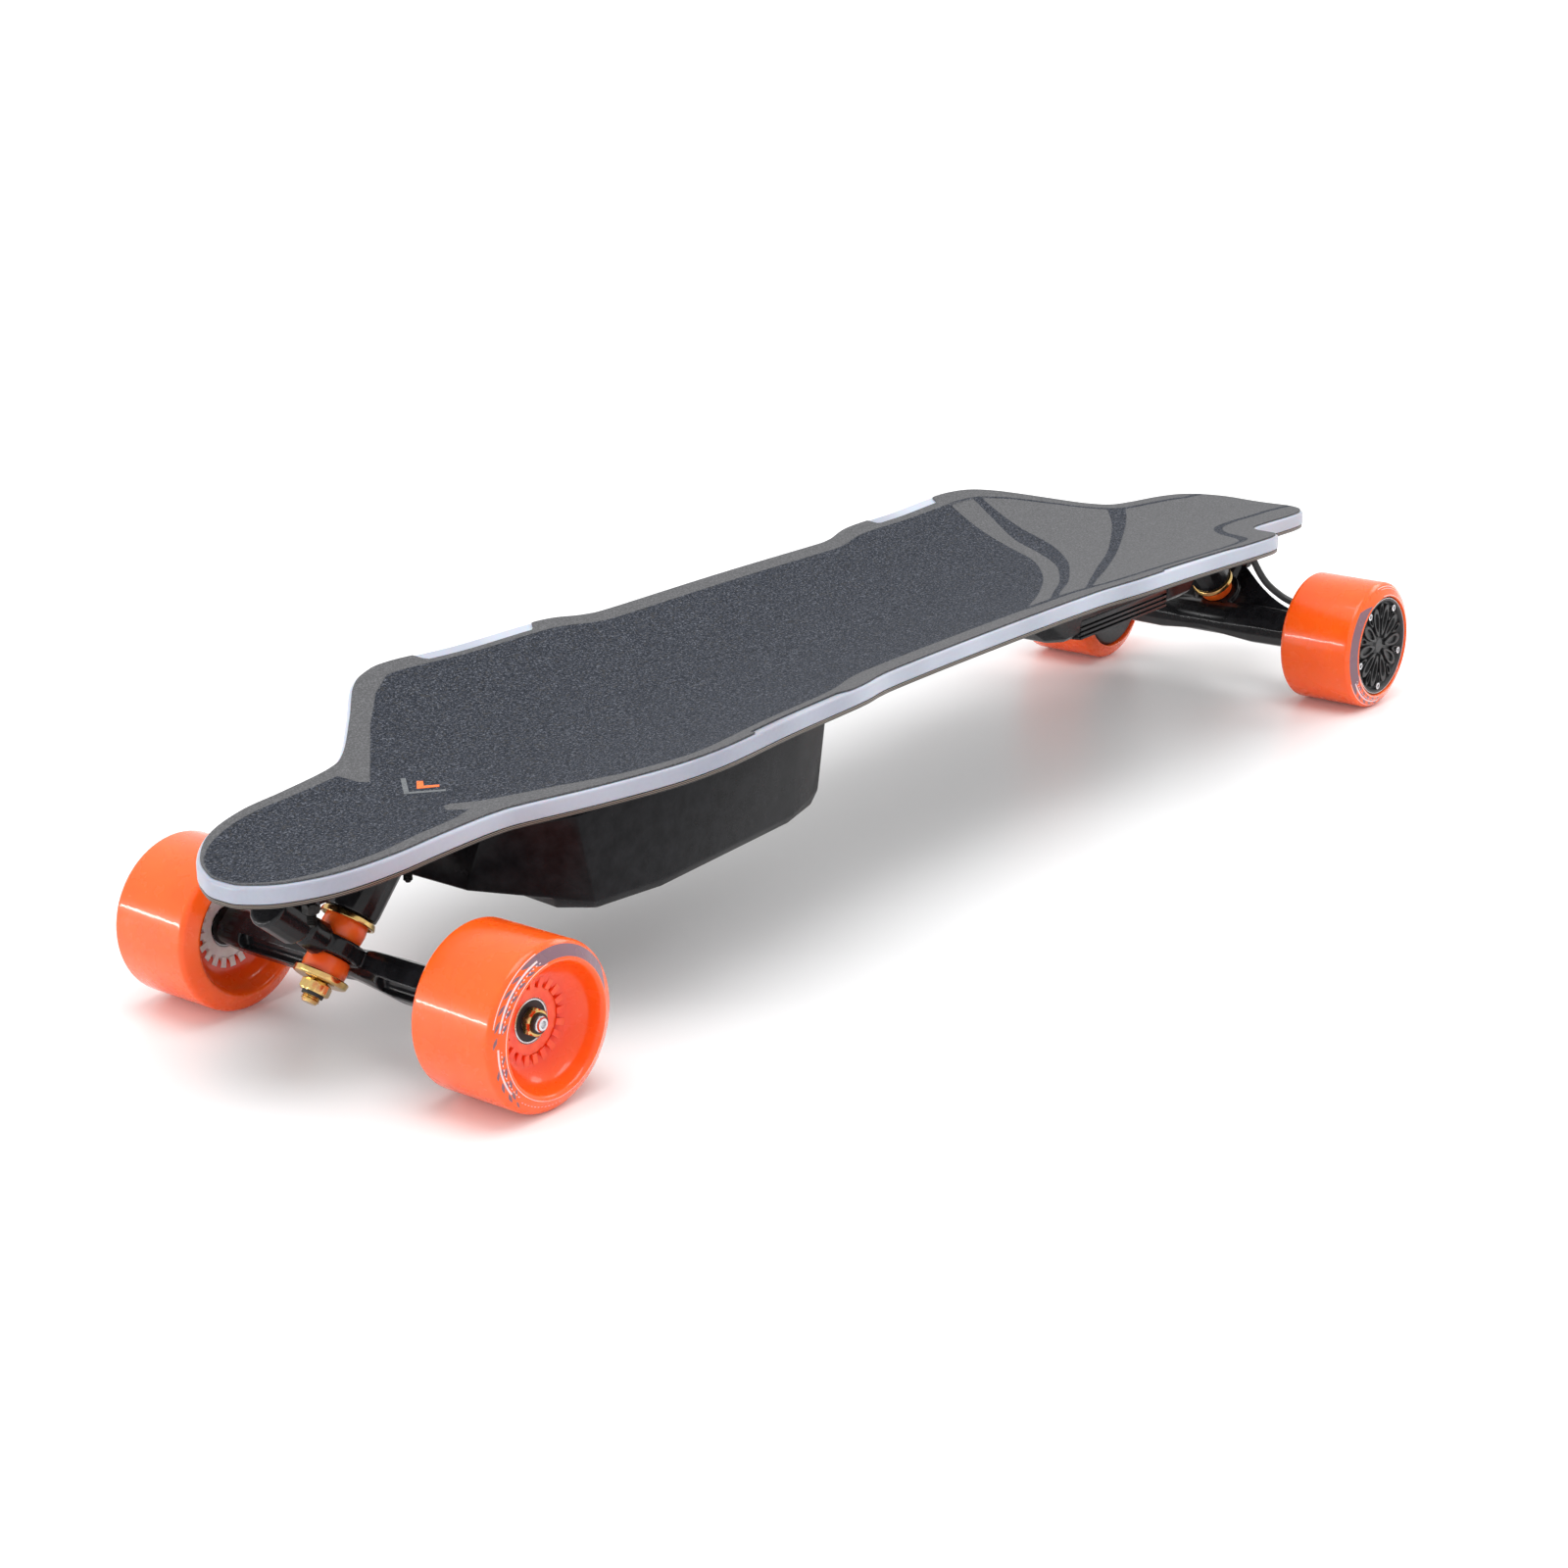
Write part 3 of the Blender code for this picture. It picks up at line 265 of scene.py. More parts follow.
def rail_look():
    """Milky translucent moulding, with painted light: soft brighter and dimmer stretches along it."""
    look = Look(
        "translucent_rail_painted_light", 0.34, Transmission_Weight=0.12, Subsurface_Weight=0.35,
        Subsurface_Scale=0.004,
    )
    # Painted light: noise along the rail makes brighter and dimmer stretches, standing in for light shining
    # through it.
    stretch = look.noise(9.0, 2.0, 0.45, look.stretched((1.0, 0.6, 0.2)))
    fine = look.noise(420.0, 3.0, 0.6)
    body = look.ramp(stretch, (0.36, (0.33, 0.345, 0.42)), (0.64, (0.52, 0.56, 0.65)))
    look.colour(look.mix(look.span(fine, 0.3, 0.7, 0.0, 0.08), body, (0.7, 0.74, 0.82)))
    look.rough(look.span(fine, 0.3, 0.7, 0.28, 0.42))
    look.bump(fine, 0.00005, 0.5)
    return look.mat


def urethane_colour(look):
    """Orange, with painted shade: a darker red-orange towards the hub inside the dishes."""
    cloud = look.noise(26.0, 3.0, 0.5)
    tread = look.ramp(cloud, (0.3, (0.93, 0.1, 0.006)), (0.7, (0.97, 0.12, 0.009)))
    z, radius = look.polar()[2:]
    dish = look.math("LESS_THAN", look.math("ABSOLUTE", z), 26 * MM)
    # Painted shade: the dish surfaces darken towards the hub, where shade falls in the recess.
    dish_shade = look.times(look.span(radius, 31 * MM, 19 * MM, 0.0, 0.85), dish)
    return look.mix(dish_shade, tread, (0.85, 0.03, 0.006))


def urethane_look(name, side, spin):
    """Glossy orange urethane. A wheel's outer bevel also carries a printed ring of plain bars and arcs."""
    look = Look(
        name, 0.2, Subsurface_Weight=0.45, Subsurface_Scale=0.006, Specular_IOR_Level=0.3,
        Coat_Weight=0.4, Coat_Roughness=0.03,
    )
    look.shader.inputs["Subsurface Radius"].default_value = (1.0, 0.35, 0.08)
    look.colour(print_ring(look, urethane_colour(look), side, spin))
    haze = look.noise(70.0, 3.0, 0.6)
    look.rough(look.span(haze, 0.3, 0.7, 0.2, 0.32))
    look.bump(look.noise(900.0, 2.0, 0.5), 0.00001, 0.3)
    return look.mat


def print_ring(look, base, side, spin):
    """A grey arc, slanted grey dashes and thin pale arcs around a wheel's outer bevel.

    Radii are in millimetres. Angles are in degrees about the wheel's own axis.
    """
    x, y, z, distance = look.polar()
    radius = look.times(distance, 1 / MM)
    flat = look.math("ARCTAN2", look.times(y, -float(side)), look.times(x, -1.0))
    turn = look.math("FLOORED_MODULO", look.math("SUBTRACT", flat, spin), math.tau)
    slant = look.math("SUBTRACT", turn, look.times(look.math("SUBTRACT", radius, 37.5), 0.055))

    def arc(angle, low, high, start, end):
        ring = look.between(radius, low, high)
        return look.times(ring, look.between(angle, math.radians(start), math.radians(end)))

    outer = look.math("GREATER_THAN", z, 24 * MM)
    wave = look.math("SINE", look.times(slant, 31.0))
    rows = look.math("SINE", look.times(look.math("SUBTRACT", radius, 35.1), math.pi / 1.7))
    dashes = look.math("GREATER_THAN", look.times(wave, rows), 0.1)
    stretches = look.either(arc(slant, 34.9, 40.3, 96, 156), arc(slant, 34.9, 40.3, 176, 212))
    grey = look.either(arc(slant, 34.9, 40.4, 8, 97), look.times(dashes, stretches))
    thin = look.either(
        arc(turn, 37.5, 38.3, 92, 152), arc(turn, 37.5, 38.3, 164, 204), arc(turn, 34.4, 34.7, 85, 335),
        arc(turn, 40.0, 40.35, 270, 340), arc(turn, 40.6, 40.9, 90, 150), arc(turn, 38.7, 38.9, 275, 335),
    )
    beads = look.math("GREATER_THAN", look.math("SINE", look.times(turn, 96.0)), 0.2)
    dots = look.times(beads, look.either(
        arc(turn, 36.3, 36.7, 90, 152), arc(turn, 36.3, 36.7, 166, 212), arc(turn, 37.6, 37.9, 216, 262),
    ))
    grey = look.times(grey, outer)
    pale = look.times(look.either(thin, dots), outer)
    printed = look.mix(look.times(grey, 0.9), base, (0.13, 0.115, 0.16))
    return look.mix(look.times(pale, 0.85), printed, (0.92, 0.72, 0.74))


def black_paint(name, roughness=0.2, **fixed):
    dark, light = (0.006, 0.006, 0.007), (0.014, 0.014, 0.016)
    return speckled(name, dark, light, roughness, 120.0, 0.00003, spread=0.25, **fixed)


def zinc_look():
    """Yellow zinc: gold with darker and pinkish clouds."""
    look = Look("zinc_gold_plated", 0.2, 1.0)
    cloud = look.noise(150.0, 3.0, 0.6)
    look.colour(look.ramp(cloud, (0.3, (0.5, 0.33, 0.1)), (0.5, (0.66, 0.46, 0.17)), (0.7, (0.6, 0.3, 0.14))))
    look.rough(look.span(look.noise(300.0, 3.0, 0.6), 0.3, 0.7, 0.12, 0.24))
    return look.mat


def steel_look():
    look = Look("bearing_steel_ground", 0.22, 1.0)
    rings = look.noise(900.0, 2.0, 0.5)
    look.colour(look.ramp(rings, (0.3, (0.5, 0.5, 0.52)), (0.7, (0.78, 0.78, 0.8))))
    look.rough(look.span(look.noise(220.0, 3.0, 0.6), 0.3, 0.7, 0.15, 0.32))
    return look.mat


def all_looks():
    return {
        "grip": grip_look(),
        "ply": ply_look(),
        "rail": rail_look(),
        "box": black_paint("gloss_black_shell", 0.24, Specular_IOR_Level=0.09),
        "box_inside": black_paint("shell_matte", 0.5),
        "heatsink": speckled(
            "heatsink_anodised", (0.008, 0.008, 0.009), (0.02, 0.02, 0.022), 0.3, 500.0, 0.00004, 0.5, 0.2,
        ),
        "truck": black_paint("truck_enamel", 0.2, Specular_IOR_Level=0.3),
        "motor": speckled(
            "motor_satin_black", (0.012, 0.012, 0.013), (0.028, 0.028, 0.03), 0.42, 700.0, 0.00004, 0.2, 0.15,
        ),
        "black_steel": speckled(
            "black_oxide", (0.012, 0.012, 0.012), (0.03, 0.029, 0.028), 0.38, 600.0, 0.00003, 0.7, 0.25,
        ),
        "rubber": speckled(
            "soft_black_rubber", (0.012, 0.012, 0.012), (0.024, 0.024, 0.025), 0.6, 300.0, 0.00006,
        ),
        "cable": speckled(
            "cable_jacket", (0.008, 0.008, 0.008), (0.018, 0.018, 0.019), 0.3, 240.0, 0.00003,
        ),
        "zinc": zinc_look(),
        "steel": steel_look(),
        "bushing": speckled(
            "bushing_urethane", (0.9, 0.1, 0.01), (1.0, 0.17, 0.02), 0.3, 60.0, 0.00002,
            Subsurface_Weight=0.3, Subsurface_Scale=0.004,
        ),
        "nylon": speckled(
            "white_core_nylon", (0.78, 0.68, 0.66), (0.9, 0.84, 0.82), 0.4, 200.0, 0.00003,
            Subsurface_Weight=0.2, Subsurface_Scale=0.002,
        ),
        "tinted": speckled(
            "core_seen_through", (0.9, 0.05, 0.012), (1.0, 0.12, 0.03), 0.25, 120.0, 0.00002,
            Subsurface_Weight=0.3, Subsurface_Scale=0.004,
        ),
        "cells": speckled("cell_wrap_film", (0.03, 0.1, 0.26), (0.06, 0.17, 0.38), 0.4, 90.0, 0.00005),
        "board": speckled("solder_mask", (0.015, 0.11, 0.04), (0.03, 0.18, 0.08), 0.4, 160.0, 0.00005),
        "copper": speckled("winding_enamel", (0.45, 0.17, 0.07), (0.8, 0.4, 0.2), 0.35, 500.0, 0.0001, 0.9),
        "mark_orange": speckled("printed_orange", (0.85, 0.13, 0.02), (1.0, 0.22, 0.05), 0.8, 900.0, 0.0003),
        "mark_grey": speckled("printed_grey", (0.1, 0.11, 0.12), (0.2, 0.21, 0.22), 0.85, 1100.0, 0.0004),
    }


# Mesh helpers


def finish_mesh(name, bm, mats, body, replaced=(), place=None, angle=35):
    bmesh.ops.remove_doubles(bm, verts=bm.verts[:], dist=1e-6)
    bmesh.ops.recalc_face_normals(bm, faces=bm.faces[:])
    mesh = bpy.data.meshes.new(name)
    bm.to_mesh(mesh)
    bm.free()
    for mat in mats:
        mesh.materials.append(mat)
    mesh.shade_smooth()
    mesh.set_sharp_from_angle(angle=math.radians(angle))
    obj = bpy.data.objects.new(name, mesh)
    bpy.context.scene.collection.objects.link(obj)
    if place:
        obj.matrix_world = place
    if body:
        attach(obj, body)
    if replaced:
        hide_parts(*replaced)
    return obj


def skin(bm, loops, closed=False):
    """Faces from each loop of points to the next, as one list for each pair of loops."""
    following = loops[1:] + loops[:1] if closed else loops[1:]
    strips = []
    for a, b in zip(loops, following):
        strip = []
        for i in range(len(a)):
            j = (i + 1) % len(a)
            strip.append(bm.faces.new((a[i], a[j], b[j], b[i])))
        strips.append(strip)
    return strips


def turned(profile, steps=96, mats=None):
    """A profile of (radius, height) turned about Z; mats gives each segment's slot."""
    bm = bmesh.new()
    loops = []
    for radius, height in profile:
        if radius < 1e-7:
            loops.append([bm.verts.new((0, 0, height))])
            continue
        loop = []
        for k in range(steps):
            turn = math.tau * k / steps
            loop.append(bm.verts.new((radius * math.cos(turn), radius * math.sin(turn), height)))
        loops.append(loop)
    closed = profile[0][0] > 1e-7 and profile[-1][0] > 1e-7
    pairs = list(zip(loops, loops[1:]))
    if closed:
        pairs.append((loops[-1], loops[0]))
    for index, (a, b) in enumerate(pairs):
        for k in range(steps):
            j = (k + 1) % steps
            corners = [a[k % len(a)], a[j % len(a)], b[j % len(b)], b[k % len(b)]]
            unique = [v for i, v in enumerate(corners) if v not in corners[:i]]
            if len(unique) > 2:
                face = bm.faces.new(unique)
                if mats:
                    face.material_index = mats[index % len(mats)]
    return bm


def rounded(points, radius, steps=4):
    """A polyline profile with its corners rounded."""
    result = []
    for i, corner in enumerate(points):
        if i in (0, len(points) - 1):
            result.append(corner)
            continue
        here = Vector(corner)
        before = Vector(points[i - 1]) - here
        after = Vector(points[i + 1]) - here
        reach = min(radius, before.length * 0.45, after.length * 0.45)
        start = here + before.normalized() * reach
        end = here + after.normalized() * reach
        for k in range(steps + 1):
            t = k / steps
            result.append(tuple(start * (1 - t) ** 2 + here * 2 * t * (1 - t) + end * t**2))
    return result


def truck_frame(axle_x, outward):
    return Matrix.Translation((axle_x, 0, 0)) @ Matrix.Rotation(0 if outward > 0 else math.pi, 4, "Z")


def kingpin_frame(axle_x, outward):
    ring = truck_frame(axle_x, outward) @ Matrix.Translation(RING_CENTRE)
    return ring @ Matrix.Rotation(-TRUCK_TILT, 4, "Y")


def wheel_frame(axle_x, side):
    """The wheel's middle, with +Z pointing away from the board."""
    turn = Matrix.Rotation(math.radians(-90 * side), 4, "X")
    return Matrix.Translation((axle_x, side * WHEEL_SIDE, WHEEL_Z)) @ turn


def copied(node):
    """A bmesh with the CAD node's own shape."""
    bm = bmesh.new()
    bm.from_mesh(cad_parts[node].data)
    bmesh.ops.remove_doubles(bm, verts=bm.verts[:], dist=1e-6)
    bmesh.ops.dissolve_limit(bm, angle_limit=math.radians(0.6), verts=bm.verts[:], edges=bm.edges[:])
    return bm


def apply_modifiers(obj):
    depsgraph = bpy.context.evaluated_depsgraph_get()
    mesh = bpy.data.meshes.new_from_object(obj.evaluated_get(depsgraph))
    obj.modifiers.clear()
    obj.data = mesh


def cast(node, mat, body, voxel, rounds, extra=None):
    """The CAD node's shape with the soft fillets of a casting."""
    bm = copied(node)
    if extra:
        extra(bm)
    obj = finish_mesh(f"{node}_cast", bm, [mat], body, [node])
    remesh = obj.modifiers.new("skin", "REMESH")
    remesh.mode = "VOXEL"
    remesh.voxel_size = voxel
    remesh.use_smooth_shade = True
    smooth = obj.modifiers.new("fillet", "SMOOTH")
    smooth.iterations = rounds
    smooth.factor = 0.5
    apply_modifiers(obj)


def edged(node, mat, body, width, segments=3):
    """The CAD node's shape with rounded edges."""
    obj = finish_mesh(f"{node}_edged", copied(node), [mat], body, [node], angle=50)
    bevel = obj.modifiers.new("edges", "BEVEL")
    bevel.width = width
    bevel.segments = segments
    bevel.limit_method = "ANGLE"
    bevel.angle_limit = math.radians(12)
    bevel.use_clamp_overlap = True
    apply_modifiers(obj)
    obj.data.shade_smooth()
    obj.data.set_sharp_from_angle(angle=math.radians(28))


def add_web(bm):
    """The rear hanger's two thin webs, curving from the arms up to the pivot."""
    knots = ((78, -9), (62, -5), (46, 1), (32, 9), (21, 17), (12, 24), (6, 26))
    edge = smooth_line([Vector((x * MM, y * MM)) for x, y in knots], 4 * MM)
    outline = [*edge, Vector((6 * MM, -17 * MM)), Vector((78 * MM, -17 * MM))]
    axis = Vector((math.cos(TRUCK_TILT), 0, math.sin(TRUCK_TILT)))
    across = Vector((-axis.z, 0, axis.x))
    place = truck_frame(REAR_AXLE_X, -1)
    for side in (-1, 1):
        faces = []
        for lift in (-3.4 * MM, 1.6 * MM):
            spots = [RING_CENTRE + Vector((0, side * p.x, 0)) + axis * p.y + across * lift for p in outline]
            faces.append([bm.verts.new(place @ spot) for spot in spots])
        skin(bm, faces)
        for corners in faces:
            bm.faces.new(corners)


# Deck


def deck_top(x, y):
    along = (x - CAMBER_CENTRE_X) / CAMBER_REACH
    return DECK_CROWN - CAMBER * along**2 + CONCAVE * (y / CONCAVE_REACH) ** 2


def smooth_line(knots, step):
    """A Catmull-Rom curve through the knots with points about one step apart."""
    knots = [Vector(k) for k in knots]
    padded = [2 * knots[0] - knots[1], *knots, 2 * knots[-1] - knots[-2]]
    points = []
    for i in range(len(knots) - 1):
        before, start, end, after = padded[i : i + 4]
        count = max(1, round((end - start).length / step))
        for k in range(count):
            t = k / count
            points.append(0.5 * (
                2 * start + (end - before) * t + (2 * before - 5 * start + 4 * end - after) * t**2
                + (3 * start - before - 3 * end + after) * t**3
            ))
    points.append(knots[-1])
    return points


def half_outline():
    knots = [Vector(p) * MM for p in OUTLINE]
    ends = [Vector((486 * MM, 0.6 * MM)), *knots, Vector((-486 * MM, 0.6 * MM))]
    return smooth_line(ends, 3 * MM)


def window_share(x):
    """One beside a window, zero away from it, with a soft step between."""
    share = 0.0
    for low, high in WINDOWS:
        depth = min(x - low, high - x) / WINDOW_BLEND + 0.5
        share = max(share, min(1.0, max(0.0, depth)))
    return share


def grip_edge(x):
    return GRIP_EDGE + (GRIP_EDGE_AT_WINDOW - GRIP_EDGE) * window_share(x)


def inset(points, amount):
    moved = []
    for i, point in enumerate(points):
        before = points[i - 1] if i else Vector((point.x, -point.y))
        after = points[i + 1] if i + 1 < len(points) else Vector((point.x, -point.y))
        tangent = (after - before).normalized()
        distance = amount(point.x) if callable(amount) else amount
        shifted = point + Vector((-tangent.y, tangent.x)) * distance
        shifted.y = max(shifted.y, 0.3 * MM)
        moved.append(shifted)
    return moved


def plate(layers, columns):
    """A closed plate over the outline from (inset, depth) layers, bottom to top, with a depth attribute."""
    bm = bmesh.new()
    tag = bm.verts.layers.float.new("depth")
    outline = half_outline()

    def add(x, y, depth):
        vert = bm.verts.new((x, y, deck_top(x, y) - depth))
        vert[tag] = depth
        return vert

    loops = []
    for index, (amount, depth) in enumerate(layers):
        edge = inset(outline, amount)
        cap = index in (0, len(layers) - 1)
        rows = []
        for i, p in enumerate(edge):
            row = []
            for j in range(columns + 1):
                keep = cap or j in (0, columns) or i in (0, len(edge) - 1)
                row.append(add(p.x, p.y * (1 - 2 * j / columns), depth) if keep else None)
            rows.append(row)
        if cap:
            for near, far in zip(rows, rows[1:]):
                for j in range(columns):
                    bm.faces.new((near[j], near[j + 1], far[j + 1], far[j]))
        left = [row[0] for row in rows]
        right = [row[-1] for row in reversed(rows)]
        loops.append(left + rows[-1][1:-1] + right + rows[0][-2:0:-1])
    skin(bm, loops)
    return bm


def deck_plies(looks):
    ply_top = DECK_THICKNESS - PLY_THICKNESS
    layers = (
        (1.0 * MM, DECK_THICKNESS), (0.5 * MM, DECK_THICKNESS - 0.3 * MM), (0.3 * MM, ply_top + 0.3 * MM),
        (0.5 * MM, ply_top), (RAIL_WIDTH, ply_top), (RAIL_WIDTH, RAIL_TOP + 0.4 * MM),
    )
    plies = plate(layers, 24)
    finish_mesh("deck_plies", plies, [looks["ply"]], "deck", ["deck_core"])


def deck_rail(looks):
    low = DECK_THICKNESS - PLY_THICKNESS - 0.3 * MM
    section = (
        (RAIL_WIDTH - 0.3 * MM, low), (0.5 * MM, low), (0.0, low - 0.5 * MM), (0.0, 3.2 * MM),
        (0.15 * MM, 2.4 * MM), (0.6 * MM, 1.7 * MM), (1.3 * MM, 1.3 * MM), (2.2 * MM, RAIL_TOP),
        (RAIL_WIDTH - 0.3 * MM, RAIL_TOP),
    )
    bm = bmesh.new()
    outline = half_outline()
    loops = []
    for amount, depth in section:
        edge = inset(outline, amount)
        ring = [(p.x, p.y) for p in edge] + [(p.x, -p.y) for p in reversed(edge)]
        loops.append([bm.verts.new((x, y, deck_top(x, y) - depth)) for x, y in ring])
    skin(bm, loops, closed=True)
    finish_mesh("deck_rail_moulding", bm, [looks["rail"]], "deck", ["deck_rail"])


def signed_distance(points, line):
    """Distance of points from a line of points, positive on the line's right."""
    line = np.array([tuple(p) for p in line])
    start, end = line[:-1], line[1:]
    step = end - start
    best = np.full(len(points), 1e9)
    sign = np.ones(len(points))
    for a, d in zip(start, step):
        to = points - a
        t = np.clip((to @ d) / (d @ d), 0, 1)
        away = to - t[:, None] * d
        distance = np.hypot(away[:, 0], away[:, 1])
        cross = d[0] * to[:, 1] - d[1] * to[:, 0]
        closer = distance < best
        best = np.where(closer, distance, best)
        sign = np.where(closer, np.where(cross < 0, 1.0, -1.0), sign)
    return best * sign


# Printed curves across the rear of the grip, from the right edge to the left, in millimetres
MAIN_END = (
    (-262, -135), (-254, -108), (-235, -69), (-219, -33), (-202, -4), (-164, 28), (-115, 57), (-60, 84),
    (0, 115),
)
FIRST_INNER = (
    (-290, -130), (-278, -102), (-258, -71), (-238, -43), (-223, -14), (-202, 12), (-176, 32), (-146, 51),
    (-108, 71), (-30, 118),
)
FIRST_OUTER = (
    (-300, -130), (-288, -104), (-277, -82), (-264, -55), (-254, -31), (-239, -10), (-215, 13), (-188, 32),
    (-152, 54), (-112, 74), (-35, 120),
)
SECOND_INNER = (
    (-400, -80), (-362, -50), (-331, -27), (-293, -4), (-250, 20), (-202, 43), (-131, 80), (-60, 120),
)
SECOND_OUTER = (
    (-412, -72), (-374, -43), (-351, -28), (-325, -13), (-258, 23), (-203, 50), (-142, 79), (-68, 121),
)

# Corners of the grey fields and of the two small marks at the front, in millimetres. The two grey wedge
# fields are painted sheen, standing in for light on the grip's rise at the shoulders.
RIGHT_SHEEN_WEDGE = (
    (262, -114), (272, -108), (283, -102), (310, -79), (359, -30), (362, -36), (364, -48), (372, -58),
    (350, -72), (320, -100), (290, -125), (262, -130),
)
LEFT_SHEEN_WEDGE = (
    (374, 44), (361, 41), (366, 30), (360, 22), (348, 37), (333, 49), (318, 62), (296, 90), (280, 112),
    (285, 125), (320, 92), (350, 62),
)
GREY_MARK = ((345, -22.5), (359, -6), (344.5, 9), (342.5, 7), (355.5, -6), (343, -20.8))
ORANGE_MARK = ((342.5, -13.5), (350, -6), (341.5, 1.5), (339.5, -0.6), (345, -6), (340.4, -11))

# Width of the grey border at places along the board, right side and left side, in millimetres
BORDER_X = (-486, -400, -300, -240, -100, 100, 160, 280, 330, 400, 450, 470, 486)
BORDER_RIGHT = (10, 10, 13, 14, 12, 12, 12, 12, 12, 9, 7, 4, 2)
BORDER_LEFT = (25, 26, 21, 18, 22, 22, 17, 16, 14, 12, 8, 4, 2)


def inside_polygon(points, corners):
    """Positive inside the polygon, negative outside, by distance to its edge."""
    loop = [Vector(c) * MM for c in corners]
    distance = np.abs(signed_distance(points, [*loop, loop[0]]))
    inside = np.zeros(len(points), bool)
    for a, b in zip(loop, [*loop[1:], loop[0]]):
        spans = (a.y > points[:, 1]) != (b.y > points[:, 1])
        height = b.y - a.y if abs(b.y - a.y) > 1e-12 else 1e-12
        crossing = (b.x - a.x) * (points[:, 1] - a.y) / height + a.x
        inside ^= spans & (points[:, 0] < crossing)
    return np.where(inside, distance, -distance)


def ink_field(points):
    """Above zero where the grip is dark, below zero where it is grey."""
    outline = [p for p in half_outline() if p.x > -450 * MM]
    outline.append(Vector((-0.6, 49 * MM)))
    mirrored = np.column_stack([points[:, 0], np.abs(points[:, 1])])
    edge = np.abs(signed_distance(mirrored, outline))

    def curve(knots):
        return signed_distance(points, smooth_line([Vector(k) * MM for k in knots], 6 * MM))

    main_end = curve(MAIN_END)
    first = np.minimum(-curve(FIRST_INNER), curve(FIRST_OUTER))
    second = np.minimum(-curve(SECOND_INNER), curve(SECOND_OUTER))
    border = border_width(points)
    inside = edge - border
    dark = np.minimum(np.maximum(np.maximum(main_end, first), second), inside)
    # The wedges turn the grip grey: painted sheen at the shoulders.
    for wedge in (RIGHT_SHEEN_WEDGE, LEFT_SHEEN_WEDGE):
        dark = np.minimum(dark, -inside_polygon(points, wedge))
    half = np.interp(points[:, 1], (-40 * MM, 40 * MM), (1.5 * MM, 3 * MM))
    line = half - np.abs(inside - 1.2 * MM)
    return np.maximum(dark, np.minimum(line, -main_end))


def border_width(points):
    x = points[:, 0] / MM
    right = np.interp(x, BORDER_X, BORDER_RIGHT)
    left = np.interp(x, BORDER_X, BORDER_LEFT)
    share = np.clip(points[:, 1] / (60 * MM) + 0.5, 0, 1)
    return (right * (1 - share) + left * share) * MM


def grip_sheet(looks):
    layers = ((grip_edge, GRIP_THICKNESS), (grip_edge, 0.15 * MM), (lambda x: grip_edge(x) + 0.4 * MM, 0.0))
    sheet = plate(layers, 84)
    grip = finish_mesh("grip_sheet", sheet, [looks["grip"]], "deck", ["grip_tape"])
    mesh = grip.data
    spots = np.zeros(len(mesh.vertices) * 3)
    mesh.vertices.foreach_get("co", spots)
    spots = spots.reshape(-1, 3)[:, :2]
    ink = mesh.attributes.new("ink", "FLOAT", "POINT")
    ink.data.foreach_set("value", ink_field(spots).astype(np.float32))


def grip_mark(name, corners, mat):
    """A small printed shape lying on the grip near the nose."""
    bm = bmesh.new()
    top = []
    low = []
    for x, y in corners:
        z = deck_top(x * MM, y * MM)
        top.append(bm.verts.new((x * MM, y * MM, z + 0.12 * MM)))
        low.append(bm.verts.new((x * MM, y * MM, z - 0.3 * MM)))
    bm.faces.new(top)
    bm.faces.new(low)
    skin(bm, [top, low])
    finish_mesh(name, bm, [mat], "deck")


# Wheels


def tyre_outer(lip_inner):
    """From the outer lip over the tread to the inner lip."""
    corners = [
        (lip_inner, 28.6 * MM), (33.9 * MM, 29.3 * MM), (41.0 * MM, 25.6 * MM), (WHEEL_RADIUS, 23.6 * MM),
        (WHEEL_RADIUS, -23.6 * MM), (41.0 * MM, -25.6 * MM), (33.9 * MM, -29.3 * MM), (lip_inner, -28.6 * MM),
    ]
    return rounded(corners, 1.6 * MM, 5)


def front_wheel(looks, side, word):
    place = wheel_frame(FRONT_AXLE_X, side)
    body = f"front_{word}_wheel"
    dish = rounded([
        (32.6 * MM, -28.6 * MM), (31.6 * MM, -26 * MM), (29.8 * MM, -20 * MM), (24.5 * MM, -15.2 * MM),
        (17.3 * MM, -13.4 * MM), (17.3 * MM, 13.4 * MM), (24.5 * MM, 15.2 * MM), (29.8 * MM, 20 * MM),
        (31.6 * MM, 26 * MM), (32.6 * MM, 28.6 * MM),
    ], 3 * MM, 5)
    tyre = turned(tyre_outer(32.6 * MM) + dish[1:-1], 128)
    finish_mesh(
        f"front_{word}_urethane", tyre, [looks[f"printed_{side}"]], body, [f"front_{word}_tyre"], place, 60,
    )
    finish_mesh(
        f"front_{word}_toothed_core", core_mesh(), [looks["nylon"], looks["tinted"]], body,
        [f"front_{word}_core"], place, 35,
    )
    for name, low, flip in (("outer", 5.3 * MM, 1), ("inner", -12.3 * MM, -1)):
        finish_mesh(
            f"front_{word}_shielded_bearing_{name}", bearing_mesh(low, flip),
            [looks["steel"], looks["rubber"]], body, [f"front_{word}_bearing_{name}"], place, 30,
        )


def core_mesh():
    """The hub's plastic core: a ring with gear-like teeth that stand just clear of the dish on both faces."""
    section = [
        (11.3 * MM, 12.5 * MM), (16.6 * MM, 13.2 * MM), (17.2 * MM, 12.4 * MM), (17.2 * MM, -12.4 * MM),
        (16.6 * MM, -13.2 * MM), (11.3 * MM, -12.5 * MM),
    ]
    bm = turned(rounded(section, 0.5 * MM, 3), 96)
    for face in bm.faces:
        if min(v.co.z for v in face.verts) > 12 * MM:
            face.material_index = 1
    for k in range(CORE_TEETH):
        for face in (-1, 1):
            add_tooth(bm, math.tau * k / CORE_TEETH, face)
    return bm


